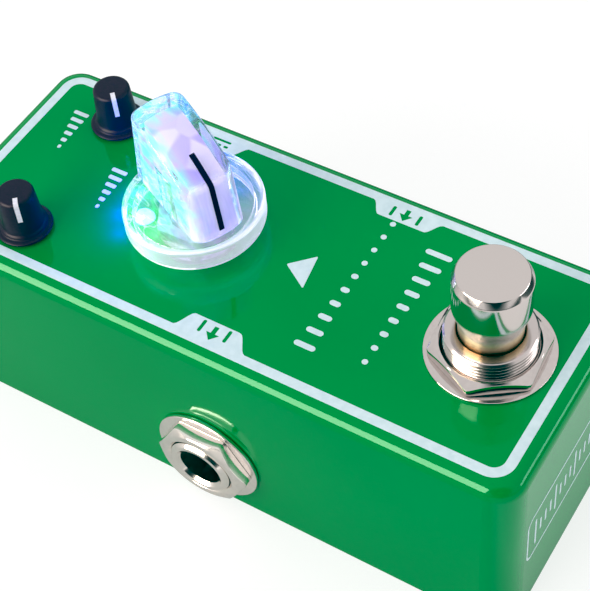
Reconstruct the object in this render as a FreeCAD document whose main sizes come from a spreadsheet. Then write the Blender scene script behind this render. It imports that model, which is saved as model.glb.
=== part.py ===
import FreeCAD, Part
import math
import os
import re

import Sketcher

# Delay pedal: a small die-cast guitar pedal with one large clear knob over a lamp, two small knobs and a
# stomp switch. X runs across the box (the output side is -X), +Y points to the knob end and +Z is up.
# The origin is the middle of the base.

SIZES = [
    # housing
    ("housing_length", 92.6, "box length at the base, along Y"),
    ("housing_width", 37.8, "box width at the base, along X"),
    ("housing_height", 32.0, "base to top face"),
    ("housing_draft", 0.5, "casting draft of the outer walls, degrees"),
    ("housing_corner_radius", 4.3, "vertical corners"),
    ("housing_edge_radius", 2.3, "rounded edge round the top face"),
    ("wall_thickness", 2.0, "side walls"),
    ("top_thickness", 2.2, "top wall"),
    ("lip_width", 1.0, "rim left round the recessed bottom plate"),
    ("post_inset", 4.8, "screw post axis in from the outer walls"),
    ("post_reach", 3.5, "post axis to its inner faces"),
    ("post_round", 2.8, "rounding of the post's free corner"),
    ("cut_margin", 1.0, "how far a cut runs past what it goes through"),
    # bottom plate and screws
    ("plate_thickness", 1.5, "bottom plate"),
    ("plate_gap", 0.15, "play round the bottom plate"),
    ("screw_radius", 1.5, "plate screw thread"),
    ("screw_head_radius", 2.8, "countersunk head"),
    ("screw_length", 8.0, "overall, head included"),
    ("screw_sink", 0.05, "head face inside the plate's face"),
    ("screw_gap", 0.1, "play round the thread"),
    ("screw_slot_width", 0.8, "cross recess arm"),
    ("screw_slot_reach", 1.7, "cross recess, middle to the arm's end"),
    ("screw_slot_depth", 0.8, "cross recess depth"),
    # stomp switch
    ("footswitch_inset", 12.8, "switch axis in from the box's end"),
    ("bushing_radius", 6.0, "threaded barrel"),
    ("bushing_above", 4.65, "barrel above the top face"),
    ("bushing_below", 7.35, "barrel below the top face"),
    ("bushing_chamfer", 0.3, "barrel's lead-in"),
    ("bushing_mouth_radius", 5.55, "countersunk mouth"),
    ("bushing_mouth_depth", 0.45, "countersunk mouth"),
    ("bushing_gap", 0.08, "play between barrel and panel or nuts"),
    ("stomp_washer_radius", 8.45, "dress washer"),
    ("stomp_washer_thickness", 0.4, "dress washer"),
    ("stomp_nut_flats", 14.0, "hexagon nuts, across flats"),
    ("stomp_nut_thickness", 1.8, "outer nut"),
    ("stomp_nut_turn", 35.0, "outer nut as tightened, degrees"),
    ("inner_nut_thickness", 2.0, "nut under the panel"),
    ("lock_washer_thickness", 0.6, "lock washer under the panel"),
    ("lock_washer_radius", 7.6, "lock washer under the panel"),
    ("cap_radius", 5.0, "push cap"),
    ("cap_top", 15.2, "cap top above the top face"),
    ("cap_bottom", 8.7, "lower end of the cap's straight side"),
    ("cap_bevel_height", 1.0, "bevel at the cap's top"),
    ("cap_bevel_width", 0.5, "bevel at the cap's top"),
    ("neck_radius", 4.15, "stem that runs in the barrel"),
    ("neck_top", 7.2, "upper end of the stem's straight side"),
    ("neck_gap", 0.07, "running clearance of the stem"),
    ("stomp_travel", 2.2, "how far the cap goes down"),
    ("flange_radius", 4.7, "flange that keeps the stem in"),
    ("flange_thickness", 1.0, "flange on the stem"),
    ("flange_gap", 0.3, "flange below the frame"),
    ("nose_radius", 2.0, "stem's lower nose inside the spring"),
    ("nose_length", 4.35, "stem's lower nose"),
    ("frame_thickness", 1.0, "folded frame that holds the switch body"),
    ("frame_leg", 8.0, "frame's legs, down the body's sides"),
    ("frame_leg_width", 8.4, "frame legs, along Y"),
    ("frame_length", 15.0, "frame along Y"),
    ("spigot_radius", 5.3, "barrel's end riveted through the frame"),
    ("switch_width", 17.3, "switch body, X"),
    ("switch_length", 16.8, "switch body, Y"),
    ("switch_height", 15.4, "switch body, Z"),
    ("switch_bore", 5.0, "bore for the flange and spring"),
    ("switch_bore_depth", 9.15, "bore depth"),
    ("spring_radius", 3.2, "return spring, coil's middle"),
    ("spring_wire", 0.35, "return spring, wire radius"),
    ("spring_turns", 3.5, "return spring"),
    ("terminal_width", 1.8, "switch terminal, X"),
    ("terminal_thickness", 0.8, "switch terminal, Y"),
    ("terminal_pitch_across", 5.3, "terminal rows, X"),
    ("terminal_pitch_along", 4.9, "terminal rows, Y"),
    # large knob
    ("knob_forward", 10.6, "large knob's axis from the middle of the box"),
    ("knob_lift", 1.9, "knob's underside above the top face"),
    ("knob_turn", -112.5, "direction of the pointer, degrees from +X"),
    ("skirt_foot_radius", 9.2, "skirt at its underside"),
    ("skirt_radius", 9.65, "skirt at its widest"),
    ("skirt_top_radius", 9.3, "skirt at its top"),
    ("skirt_foot_height", 0.6, "underside to widest"),
    ("skirt_side_height", 3.2, "underside to the top bevel"),
    ("skirt_height", 3.6, "underside to the skirt's top"),
    ("knob_hollow_radius", 8.2, "hollow over the nut"),
    ("knob_hollow_height", 2.4, "hollow over the nut"),
    ("grip_foot_height", 3.0, "underside to the grip's foot, sunk into the skirt"),
    ("grip_roof", 19.0, "underside to the top of the grip's block before its crown is cut"),
    ("grip_width", 7.7, "grip, between its flat sides"),
    ("grip_front_foot", 7.75, "axis to the front face, at the grip's foot"),
    ("grip_front_lean", 8.2, "front face's lean back, degrees"),
    ("grip_front_radius", 15.0, "front face's curve"),
    ("grip_rear_foot", 9.6, "axis to the rear face, at the grip's foot"),
    ("grip_rear_lean", 9.2, "rear face's lean forward, degrees"),
    ("grip_rear_radius", 12.0, "rear face's curve"),
    ("grip_corner_radius", 1.2, "rounding of the grip's rising edges"),
    ("grip_crown_radius", 27.1, "curve of the sloping top"),
    ("grip_crown_height", 16.44, "underside to the crown's peak"),
    ("grip_crown_back", 8.73, "crown's peak behind the axis"),
    ("grip_edge_bevel", 0.5, "rounding round the sloping top"),
    ("indicator_width", 0.75, "line let into the knob"),
    ("indicator_depth", 0.4, "line let into the knob"),
    ("indicator_start", 2.0, "axis to the line's upper end"),
    ("indicator_end", 4.7, "underside to the line's lower end"),
    # large knob's potentiometer
    ("time_shaft_radius", 3.0, "shaft"),
    ("time_shaft_top", 12.4, "shaft's end above the top face"),
    ("time_shaft_below", 5.5, "shaft's lower end below the top face"),
    ("shaft_bevel", 0.4, "shaft's end"),
    ("shaft_gap", 0.05, "running clearance of the shafts"),
    ("hub_gap", 0.02, "play between shaft and knob"),
    ("time_bushing_radius", 3.5, "threaded bushing"),
    ("time_bushing_top", 3.5, "bushing above the top face"),
    ("time_case_width", 9.5, "body, X"),
    ("time_case_length", 10.6, "body, Y"),
    ("pot_case_height", 6.6, "bodies, Z"),
    ("time_washer_radius", 5.5, "washer under the nut"),
    ("time_washer_thickness", 0.5, "washer under the nut"),
    ("time_nut_flats", 10.0, "nut across flats"),
    ("time_nut_thickness", 2.0, "nut"),
    ("pot_pin_width", 0.8, "solder pins"),
    ("pot_pin_pitch", 2.5, "solder pins"),
    ("pot_pin_length", 3.4, "solder pins"),
    # small knobs
    ("small_knob_inset", 14.5, "small knobs' axes in from the box's end"),
    ("small_knob_margin", 7.75, "small knobs' axes in from the box's sides"),
    ("left_knob_turn", -138.0, "pointer of the output side knob, degrees from +X"),
    ("right_knob_turn", -135.0, "pointer of the other knob, degrees from +X"),
    ("small_knob_lift", 0.3, "knob's underside above the top face"),
    ("small_flange_radius", 4.0, "foot flange"),
    ("small_flange_height", 0.5, "foot flange"),
    ("small_foot_radius", 2.95, "body at the flange"),
    ("small_head_radius", 2.6, "body at the top"),
    ("small_knob_top", 7.2, "knob's top above the top face"),
    ("small_knob_bevel", 0.3, "top edge"),
    ("pointer_width", 0.65, "white line"),
    ("pointer_depth", 0.3, "white line"),
    ("pointer_start", 1.2, "axis to the line's inner end"),
    ("pointer_end", 4.0, "line's lower end above the top face"),
    ("small_shaft_radius", 2.0, "shaft"),
    ("small_shaft_top", 5.8, "shaft's end above the top face"),
    ("collar_radius", 3.0, "collar in the panel"),
    ("collar_gap", 0.2, "play round collars and the lamp in the panel"),
    ("small_case_width", 9.5, "square body"),
    # lamp
    ("lamp_beyond", 7.4, "lamp's axis beyond the large knob's"),
    ("lamp_side", 2.3, "lamp's axis to the output side"),
    ("lamp_radius", 1.5, "lens"),
    ("lamp_top", 0.8, "lens above the top face"),
    ("lamp_dome_height", 1.05, "domed end of the lens"),
    ("lamp_dome_radius", 1.05, "half way up the dome"),
    ("lamp_dome_cap", 0.3, "dome above that"),
    ("lamp_height", 5.3, "overall"),
    ("lamp_flange_radius", 1.9, "foot of the lamp"),
    ("lamp_flange_height", 0.9, "foot of the lamp"),
    ("lead_radius", 0.25, "lamp's leads"),
    ("lead_pitch", 1.27, "lamp's leads"),
    # signal jacks
    ("jack_height", 9.4, "jack axes above the base"),
    ("output_back", 0.5, "output jack's axis behind the middle of the box"),
    ("input_back", 13.4, "input jack's axis behind the middle of the box"),
    ("jack_thread_radius", 4.75, "threaded bushing"),
    ("jack_bore_radius", 3.25, "plug bore"),
    ("jack_reach", 2.9, "bushing in front of the wall"),
    ("jack_seat", 1.5, "bushing's end inside the body"),
    ("jack_mouth", 0.45, "countersink of the mouth"),
    ("jack_thread_chamfer", 0.4, "lead-in of the thread"),
    ("jack_gap", 0.08, "play between thread, wall and nut"),
    ("jack_washer_radius", 8.0, "washer"),
    ("jack_washer_thickness", 0.6, "washer"),
    ("jack_nut_flats", 12.7, "nut across flats"),
    ("jack_nut_thickness", 2.0, "nut"),
    ("jack_case_width", 12.0, "body, Y"),
    ("jack_case_above", 5.4, "body above the axis"),
    ("jack_case_length", 25.4, "body, X"),
    ("jack_case_bore", 3.6, "bore in the body"),
    ("jack_case_end", 1.6, "body's closed end"),
    ("tongue_width", 1.6, "contact springs"),
    ("tongue_thickness", 0.35, "contact springs"),
    ("tongue_gap", 0.06, "play round the contact springs"),
    ("tongue_inset", 2.5, "mouth to the sleeve spring's tip"),
    ("tongue_back", 3.0, "sleeve spring beyond the bushing's end"),
    ("tip_spring_back", 18.0, "tip spring's leg from the body's face"),
    ("tip_spring_run", 5.0, "tip spring's sloping arm"),
    ("tip_spring_rise", 1.8, "how far the arm reaches into the bore"),
    ("pin_below", 1.0, "solder pins below the boards"),
    # power inlet
    ("power_inset", 29.8, "power inlet's axis in from the box's end"),
    ("power_height", 10.5, "power inlet's axis above the base"),
    ("power_snout_radius", 4.3, "round front"),
    ("power_snout_gap", 0.15, "play round the snout"),
    ("power_recess", 0.3, "snout's face inside the wall's face"),
    ("power_bore_radius", 3.1, "plug opening"),
    ("power_bore_depth", 9.0, "plug opening"),
    ("power_pin_radius", 1.05, "centre pin"),
    ("power_root_radius", 1.5, "centre pin's root in the body"),
    ("power_root_length", 1.5, "centre pin's root in the body"),
    ("power_pin_back", 0.8, "pin's tip inside the snout's face"),
    ("power_case_width", 9.0, "body, Y"),
    ("power_case_above", 4.9, "body above the axis"),
    ("power_case_length", 14.0, "body, X"),
    ("power_leg_back", 6.3, "sleeve contact's leg from the body's face"),
    # boards and what they carry
    ("board_thickness", 1.6, "both boards"),
    ("board_gap", 0.6, "main board inside the walls"),
    ("main_board_lift", 2.7, "main board's underside above the base"),
    ("control_board_start", 2.0, "control board's edge from the middle of the box"),
    ("control_board_gap", 1.1, "control board inside the side walls"),
    ("control_board_inset", 3.3, "control board's far edge in from the box's end"),
    ("post_clearance", 0.5, "boards clear of the posts"),
    ("header_inset", 20.1, "board connector in from the box's end"),
    ("header_pitch", 2.54, "board connector"),
    ("header_width", 2.5, "board connector"),
    ("header_height", 2.5, "board connector's upper strip"),
    ("socket_height", 8.5, "board connector's lower strip"),
    ("header_pin", 0.64, "square pins"),
    ("header_pin_depth", 5.0, "pins inside the lower strip"),
    ("header_pin_gap", 0.06, "play round the pins"),
    ("chip_inset", 14.3, "delay chip in from the box's end"),
    ("chip_length", 19.3, "delay chip"),
    ("chip_width", 6.4, "chips"),
    ("chip_height", 3.3, "chips"),
    ("chip_lift", 0.5, "chips above the board"),
    ("chip_leg_width", 0.5, "chips' legs, along the chip"),
    ("chip_leg_thickness", 0.25, "chips' legs"),
    ("amplifier_length", 9.6, "amplifier chips"),
    ("amplifier_side", 9.5, "amplifier chips, output side"),
    ("capacitor_radius", 2.5, "electrolytic capacitors"),
    ("capacitor_height", 7.0, "electrolytic capacitors"),
    ("regulator_radius", 2.4, "voltage regulator"),
    ("regulator_height", 4.8, "voltage regulator"),
    ("regulator_lift", 2.0, "voltage regulator above the board"),
]

corners = [(1, 1), (-1, 1), (-1, -1), (1, -1)]
JACK_SIDES = {"output": 0, "input": 180}
PIN_COUNT = 8
WIRE_SIDES = 4
CHIP_PITCH = 2.54
DELAY_CHIP_LEGS = 7
AMPLIFIER_LEGS = 4
# A nut's turned face as a share of its flats, how far out its cut runs, and the cut's slope in degrees
NUT_FACE = 0.48
NUT_REACH = 0.62
NUT_SLOPE = 30

doc = FreeCAD.newDocument("delay_pedal")
sizes = doc.addObject("Spreadsheet::Sheet", "sizes")
for row, (alias, value, note) in enumerate(SIZES, start=1):
    sizes.set("A%d" % row, note)
    sizes.set("B%d" % row, str(value))
    sizes.setAlias("B%d" % row, alias)
doc.recompute()

ALIAS_WORDS = re.compile(r"\b(%s)\b" % "|".join(alias for alias, value, note in SIZES))
pieces = []


def formula(text):
    """Turn a formula in the sheet's own words into an expression that reads the sheet."""
    return ALIAS_WORDS.sub(r"sizes.\1", str(text))


def number(alias):
    """A size from the sheet as a number."""
    return float(sizes.get(alias))


def bind(thing, **formulas):
    """Tie properties to formulas; a double underscore stands for a dot."""
    for name, text in formulas.items():
        thing.setExpression(name.replace("__", "."), formula(text))


def place(thing, x=0, y=0, z=0, yaw=0, pitch=0):
    """Put a piece at a formula for each coordinate, turned about Z and tipped about Y."""
    thing.Placement = FreeCAD.Placement(FreeCAD.Vector(), FreeCAD.Rotation(yaw, pitch, 0))
    bind(thing, Placement__Base__x=x, Placement__Base__y=y, Placement__Base__z=z)
    return thing


def keep(thing, label):
    """Name a finished sub-part; the label is also its file's name."""
    thing.Label = label
    pieces.append(thing)
    return thing


def new_body(name):
    """An empty PartDesign body."""
    return doc.addObject("PartDesign::Body", name)


def body_plane(body, role):
    """One of the three origin planes of a body."""
    return [feature for feature in body.Origin.OriginFeatures if feature.Role == role][0]


def sketch_on(body, plane, offset=None):
    """A sketch on one of the body's origin planes, moved along the plane's normal."""
    sketch = body.newObject("Sketcher::SketchObject", body.Name + "_sketch")
    sketch.AttachmentSupport = [(body_plane(body, plane), "")]
    sketch.MapMode = "FlatFace"
    if offset is not None:
        bind(sketch, AttachmentOffset__Base__z=offset)
    return sketch


def pin_point(sketch, edge, end, x, y):
    """Fix one end of a sketch edge at a pair of formulas; None leaves a coordinate free."""
    drawn = sketch.getPoint(edge, end)
    for kind, text, start in (("DistanceX", x, drawn.x), ("DistanceY", y, drawn.y)):
        if text is None:
            continue
        index = sketch.addConstraint(Sketcher.Constraint(kind, -1, 1, edge, end, start))
        name = "%s_%d_%d" % (kind, edge, end)
        sketch.renameConstraint(index, name)
        sketch.setExpression("Constraints." + name, formula(text))


def pin_radius(sketch, edge, radius):
    """Tie the radius of a sketch's arc or circle to a formula."""
    index = sketch.addConstraint(Sketcher.Constraint("Radius", edge, sketch.Geometry[edge].Radius))
    name = "Radius_%d" % edge
    sketch.renameConstraint(index, name)
    sketch.setExpression("Constraints." + name, formula(radius))


def outline(sketch, spots_wanted):
    """A closed polygon whose corners sit at pairs of formulas."""
    first = sketch.GeometryCount
    count = len(spots_wanted)
    spots = []
    for k in range(count):
        angle = 2 * math.pi * k / count
        spots.append(FreeCAD.Vector(10 * math.cos(angle), 10 * math.sin(angle), 0))
    for k in range(count):
        sketch.addGeometry(Part.LineSegment(spots[k], spots[(k + 1) % count]), False)
    for k in range(count):
        after = first + (k + 1) % count
        sketch.addConstraint(Sketcher.Constraint("Coincident", first + k, 2, after, 1))
    for k, (x, y) in enumerate(spots_wanted):
        pin_point(sketch, first + k, 1, x, y)
    return sketch


def rectangle(sketch, x_low, x_high, y_low, y_high):
    """A rectangle between formulas."""
    return outline(sketch, [(x_low, y_low), (x_high, y_low), (x_high, y_high), (x_low, y_high)])


def inset_outline(sketch, *margins):
    """The housing's rounded base outline, moved inwards by the named sizes."""
    margin = "(%s)" % " + ".join(margins or ("0",))
    inward = sum(number(name) for name in margins)
    half = (number("housing_width") / 2 - inward, number("housing_length") / 2 - inward)
    radius = number("housing_corner_radius") - inward
    half_x = "(housing_width / 2 - %s)" % margin
    half_y = "(housing_length / 2 - %s)" % margin
    round_by = "(housing_corner_radius - %s)" % margin
    ends = []
    for k, (side_x, side_y) in enumerate(corners):
        centre = FreeCAD.Vector(side_x * (half[0] - radius), side_y * (half[1] - radius), 0)
        turn = k * math.pi / 2
        round_corner = Part.Circle(centre, FreeCAD.Vector(0, 0, 1), radius)
        sketch.addGeometry(Part.ArcOfCircle(round_corner, turn, turn + math.pi / 2), False)
        on_side = ("%d * %s" % (side_x, half_x), "%d * (%s - %s)" % (side_y, half_y, round_by))
        on_end = ("%d * (%s - %s)" % (side_x, half_x, round_by), "%d * %s" % (side_y, half_y))
        ends.append((on_side, on_end) if k % 2 == 0 else (on_end, on_side))
    for k in range(4):
        after = (k + 1) % 4
        sketch.addGeometry(Part.LineSegment(sketch.getPoint(k, 2), sketch.getPoint(after, 1)), False)
        sketch.addConstraint(Sketcher.Constraint("Coincident", k, 2, 4 + k, 1))
        sketch.addConstraint(Sketcher.Constraint("Coincident", 4 + k, 2, after, 1))
    for k, (first, last) in enumerate(ends):
        pin_point(sketch, k, 1, *first)
        pin_point(sketch, k, 2, *last)
        pin_radius(sketch, k, round_by)
    return sketch


def circle(sketch, radius, x=0, y=0):
    """A circle with a formula for its radius and centre."""
    edge = sketch.addGeometry(Part.Circle(FreeCAD.Vector(1, 1, 0), FreeCAD.Vector(0, 0, 1), 2), False)
    pin_radius(sketch, edge, radius)
    pin_point(sketch, edge, 3, x, y)
    return sketch


def pad(body, sketch, length, midplane=False, taper=None):
    """Material from a sketch along its normal."""
    feature = body.newObject("PartDesign::Pad", body.Name + "_pad")
    feature.Profile = sketch
    feature.Midplane = midplane
    bind(feature, Length=length)
    if taper is not None:
        bind(feature, TaperAngle=taper)
    return feature


def pocket(body, sketch, length, along_normal=False, midplane=False):
    """A cut from a sketch, against its normal unless told otherwise."""
    feature = body.newObject("PartDesign::Pocket", body.Name + "_pocket")
    feature.Profile = sketch
    feature.Midplane = midplane
    feature.Reversed = along_normal
    bind(feature, Length=length)
    return feature


def spin(body, sketch, kind="Revolution"):
    """A full turn of a sketch about its own vertical axis."""
    feature = body.newObject("PartDesign::" + kind, body.Name + "_" + kind.lower())
    feature.Profile = sketch
    feature.ReferenceAxis = (sketch, ["V_Axis"])
    feature.Angle = 360
    return feature


def lathe(name, profile):
    """A turned piece from a profile of (radius, height) formulas."""
    body = new_body(name)
    spin(body, outline(sketch_on(body, "XZ_Plane"), profile))
    return body


def slab(name, x_low, x_high, y_low, y_high, z_low, z_high):
    """A rectangular piece between formulas."""
    body = new_body(name)
    sketch = rectangle(sketch_on(body, "XY_Plane", z_low), x_low, x_high, y_low, y_high)
    pad(body, sketch, "(%s) - (%s)" % (z_high, z_low))
    return body


def edge_names(feature, wanted):
    """Names of the edges of a feature that a test picks."""
    doc.recompute()
    return ["Edge%d" % (k + 1) for k, edge in enumerate(feature.Shape.Edges) if wanted(edge)]


def rising(edge):
    """True for a straight edge that runs mostly up."""
    if len(edge.Vertexes) != 2:
        return False
    step = edge.Vertexes[1].Point - edge.Vertexes[0].Point
    straight = abs(edge.Length - step.Length) < 0.001
    return straight and abs(step.z) > 0.9 * step.Length


def round_edges(body, feature, names, radius):
    """Rounded edges on the last feature of a body."""
    fillet = body.newObject("PartDesign::Fillet", body.Name + "_fillet")
    fillet.Base = (feature, names)
    bind(fillet, Radius=radius)
    return fillet


def bevel_edges(body, feature, names, size):
    """Bevelled edges on the last feature of a body."""
    bevel = body.newObject("PartDesign::Chamfer", body.Name + "_bevel")
    bevel.Base = (feature, names)
    bind(bevel, Size=size)
    return bevel


def boolean(kind, name, first, second):
    """Part::Cut or Part::Common of two objects."""
    feature = doc.addObject("Part::" + kind, name)
    feature.Base = first
    feature.Tool = second
    return feature


def group(name, members):
    """Separate solids that share one node."""
    compound = doc.addObject("Part::Compound", name)
    compound.Links = members
    return compound


# Heights and half sizes that several pieces share
inner_half_width = "(housing_width / 2 - wall_thickness)"
inner_half_length = "(housing_length / 2 - wall_thickness)"
under_panel = "(housing_height - top_thickness)"
switch_back = "(housing_length / 2 - footswitch_inset)"
small_forward = "(housing_length / 2 - small_knob_inset)"
lamp_forward = "(knob_forward + lamp_beyond)"
small_side = "(housing_width / 2 - small_knob_margin)"
header_forward = "(housing_length / 2 - header_inset)"
chip_forward = "(housing_length / 2 - chip_inset)"
power_forward = "(housing_length / 2 - power_inset)"
# Two rows of parts share the room between the output jack's body and the board connector
row_start = "(jack_case_width / 2 - output_back)"
row_gap = "((%s - header_width / 2 - %s - 2 * chip_width) / 3)" % (header_forward, row_start)
near_row = "(%s + %s + chip_width / 2)" % (row_start, row_gap)
far_row = "(%s + %s + chip_width)" % (near_row, row_gap)
board_side = "(%s - control_board_gap)" % inner_half_width
board_end = "(housing_length / 2 - control_board_inset)"
capacitor_side = "((chip_length / 2 + %s) / 2)" % inner_half_width
inner_side = "((amplifier_side - amplifier_length / 2 + power_case_length - %s) / 2)" % inner_half_width
post_x = "(housing_width / 2 - post_inset)"
post_y = "(housing_length / 2 - post_inset)"
board_top = "(main_board_lift + board_thickness)"
pot_foot = "(housing_height - top_thickness - pot_case_height)"
control_under = "(%s - board_thickness)" % pot_foot


def wall_face(height, radius):
    """Middle of the box to the flat of a round piece that bears on the drafted wall at that height."""
    return "(housing_width / 2 - tan(housing_draft * 1 deg) * (%s - %s))" % (height, radius)


jack_face = wall_face("jack_height", "jack_washer_radius")
power_face = wall_face("power_height", "power_snout_radius")


def notched(reach_x, reach_y, notch_x, notch_y):
    """Corners of a rectangle with a square notch out of each corner."""
    return [
        (reach_x, "-(%s)" % notch_y), (reach_x, notch_y), (notch_x, notch_y), (notch_x, reach_y),
        ("-(%s)" % notch_x, reach_y), ("-(%s)" % notch_x, notch_y), ("-(%s)" % reach_x, notch_y),
        ("-(%s)" % reach_x, "-(%s)" % notch_y), ("-(%s)" % notch_x, "-(%s)" % notch_y),
        ("-(%s)" % notch_x, "-(%s)" % reach_y), (notch_x, "-(%s)" % reach_y), (notch_x, "-(%s)" % notch_y),
    ]


def make_housing():
    """One-piece casting: drafted walls, rounded top, four corner posts, holes for all that passes through."""
    body = new_body("housing_shell")
    block = pad(body, inset_outline(sketch_on(body, "XY_Plane")), "housing_height")
    doc.recompute()
    drafted = body.newObject("PartDesign::Draft", "housing_shell_draft")
    sides = ["Face%d" % (k + 1) for k, face in enumerate(block.Shape.Faces) if abs(face.normalAt(0, 0).z) < 0.1]
    drafted.Base = (block, sides)
    drafted.NeutralPlane = (body_plane(body, "XY_Plane"), [""])
    bind(drafted, Angle="housing_draft")
    height = number("housing_height")
    names = edge_names(drafted, lambda edge: min(v.Point.z for v in edge.Vertexes) > height - 0.01)
    round_edges(body, drafted, names, "housing_edge_radius")

    notch_x = "(%s - post_reach)" % post_x
    notch_y = "(%s - post_reach)" % post_y
    sketch = sketch_on(body, "XY_Plane")
    outline(sketch, notched(inner_half_width, inner_half_length, notch_x, notch_y))
    cavity = pocket(body, sketch, under_panel, along_normal=True)
    across = number("housing_width") / 2 - number("post_inset") - number("post_reach")
    along = number("housing_length") / 2 - number("post_inset") - number("post_reach")

    def post_corner(edge):
        point = edge.Vertexes[0].Point
        return rising(edge) and abs(abs(point.x) - across) < 0.01 and abs(abs(point.y) - along) < 0.01

    round_edges(body, cavity, edge_names(cavity, post_corner), "post_round")

    pocket(body, inset_outline(sketch_on(body, "XY_Plane"), "lip_width"), "plate_thickness", along_normal=True)

    sketch = sketch_on(body, "XY_Plane", "housing_height")
    circle(sketch, "bushing_radius + bushing_gap", 0, "-" + switch_back)
    circle(sketch, "time_bushing_radius + bushing_gap", 0, "knob_forward")
    circle(sketch, "lamp_radius + collar_gap", "-lamp_side", lamp_forward)
    for side in ("-" + small_side, small_side):
        circle(sketch, "collar_radius + collar_gap", side, small_forward)
    pocket(body, sketch, "top_thickness + cut_margin")

    sketch = sketch_on(body, "YZ_Plane", "-housing_width / 2 - cut_margin")
    circle(sketch, "jack_thread_radius + jack_gap", "-output_back", "jack_height")
    pocket(body, sketch, "wall_thickness + 2 * cut_margin", along_normal=True)
    sketch = sketch_on(body, "YZ_Plane", "housing_width / 2 + cut_margin")
    circle(sketch, "jack_thread_radius + jack_gap", "-input_back", "jack_height")
    circle(sketch, "power_snout_radius + power_snout_gap", power_forward, "power_height")
    pocket(body, sketch, "wall_thickness + 2 * cut_margin")

    sketch = sketch_on(body, "XY_Plane")
    for side_x, side_y in corners:
        circle(sketch, "screw_radius + screw_gap / 2", "%d * %s" % (side_x, post_x), "%d * %s" % (side_y, post_y))
    pocket(body, sketch, "screw_length + cut_margin", along_normal=True)
    keep(body, "housing_shell")


def make_bottom_plate():
    """Flush plate in the housing's recess, with four countersunk holes."""
    body = new_body("bottom_plate")
    pad(body, inset_outline(sketch_on(body, "XY_Plane"), "lip_width", "plate_gap"), "plate_thickness")
    sketch = sketch_on(body, "XY_Plane")
    for side_x, side_y in corners:
        circle(sketch, "screw_radius + screw_gap", "%d * %s" % (side_x, post_x), "%d * %s" % (side_y, post_y))
    holes = pocket(body, sketch, "plate_thickness", along_normal=True)
    hole_radius = number("screw_radius") + number("screw_gap")

    def lower_rim(edge):
        return (edge.Curve.TypeId == "Part::GeomCircle" and abs(edge.Curve.Radius - hole_radius) < 0.001
                and edge.Curve.Center.z < 0.01)

    bevel_edges(body, holes, edge_names(holes, lower_rim), "screw_head_radius - screw_radius")
    keep(body, "bottom_plate")


def make_screws():
    """Four countersunk screws with a cross recess."""
    screws = []
    for k, (side_x, side_y) in enumerate(corners):
        cone = "screw_head_radius - screw_radius"
        body = lathe("plate_screw_%d" % k, [
            (0, 0), ("screw_head_radius", 0), ("screw_radius", cone), ("screw_radius", "screw_length"),
            (0, "screw_length"),
        ])
        sketch = sketch_on(body, "XY_Plane")
        half_arm = "screw_slot_width / 2"
        outline(sketch, notched("screw_slot_reach", "screw_slot_reach", half_arm, half_arm))
        pocket(body, sketch, "screw_slot_depth", along_normal=True)
        place(body, "%d * %s" % (side_x, post_x), "%d * %s" % (side_y, post_y), "screw_sink")
        screws.append(body)
    keep(group("plate_screws", screws), "plate_screws")


def hex_nut(name, flats, hole, thickness, turned=True):
    """Hexagon nut with two corners along Y; a turned one has its outer face's corners cut back."""
    body = new_body(name)
    corner = "(%s / 2 / cos(30 deg))" % flats
    points = []
    for k in range(6):
        points.append(("%s * sin(%d deg)" % (corner, 60 * k), "%s * cos(%d deg)" % (corner, 60 * k)))
    pad(body, outline(sketch_on(body, "XY_Plane"), points), thickness)
    pocket(body, circle(sketch_on(body, "XY_Plane"), hole), thickness, along_normal=True)
    if not turned:
        return body
    start = "%s * %.2f" % (flats, NUT_FACE)
    reach = "%s * %.2f" % (flats, NUT_REACH)
    fall = "(%s) - (%s - %s) * tan(%d deg)" % (thickness, reach, start, NUT_SLOPE)
    sketch = outline(sketch_on(body, "XZ_Plane"), [(start, thickness), (reach, thickness), (reach, fall)])
    spin(body, sketch, "Groove")
    return body


def ring(name, outer, inner, thickness):
    """Flat washer."""
    return lathe(name, [(inner, 0), (outer, 0), (outer, thickness), (inner, thickness)])


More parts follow.
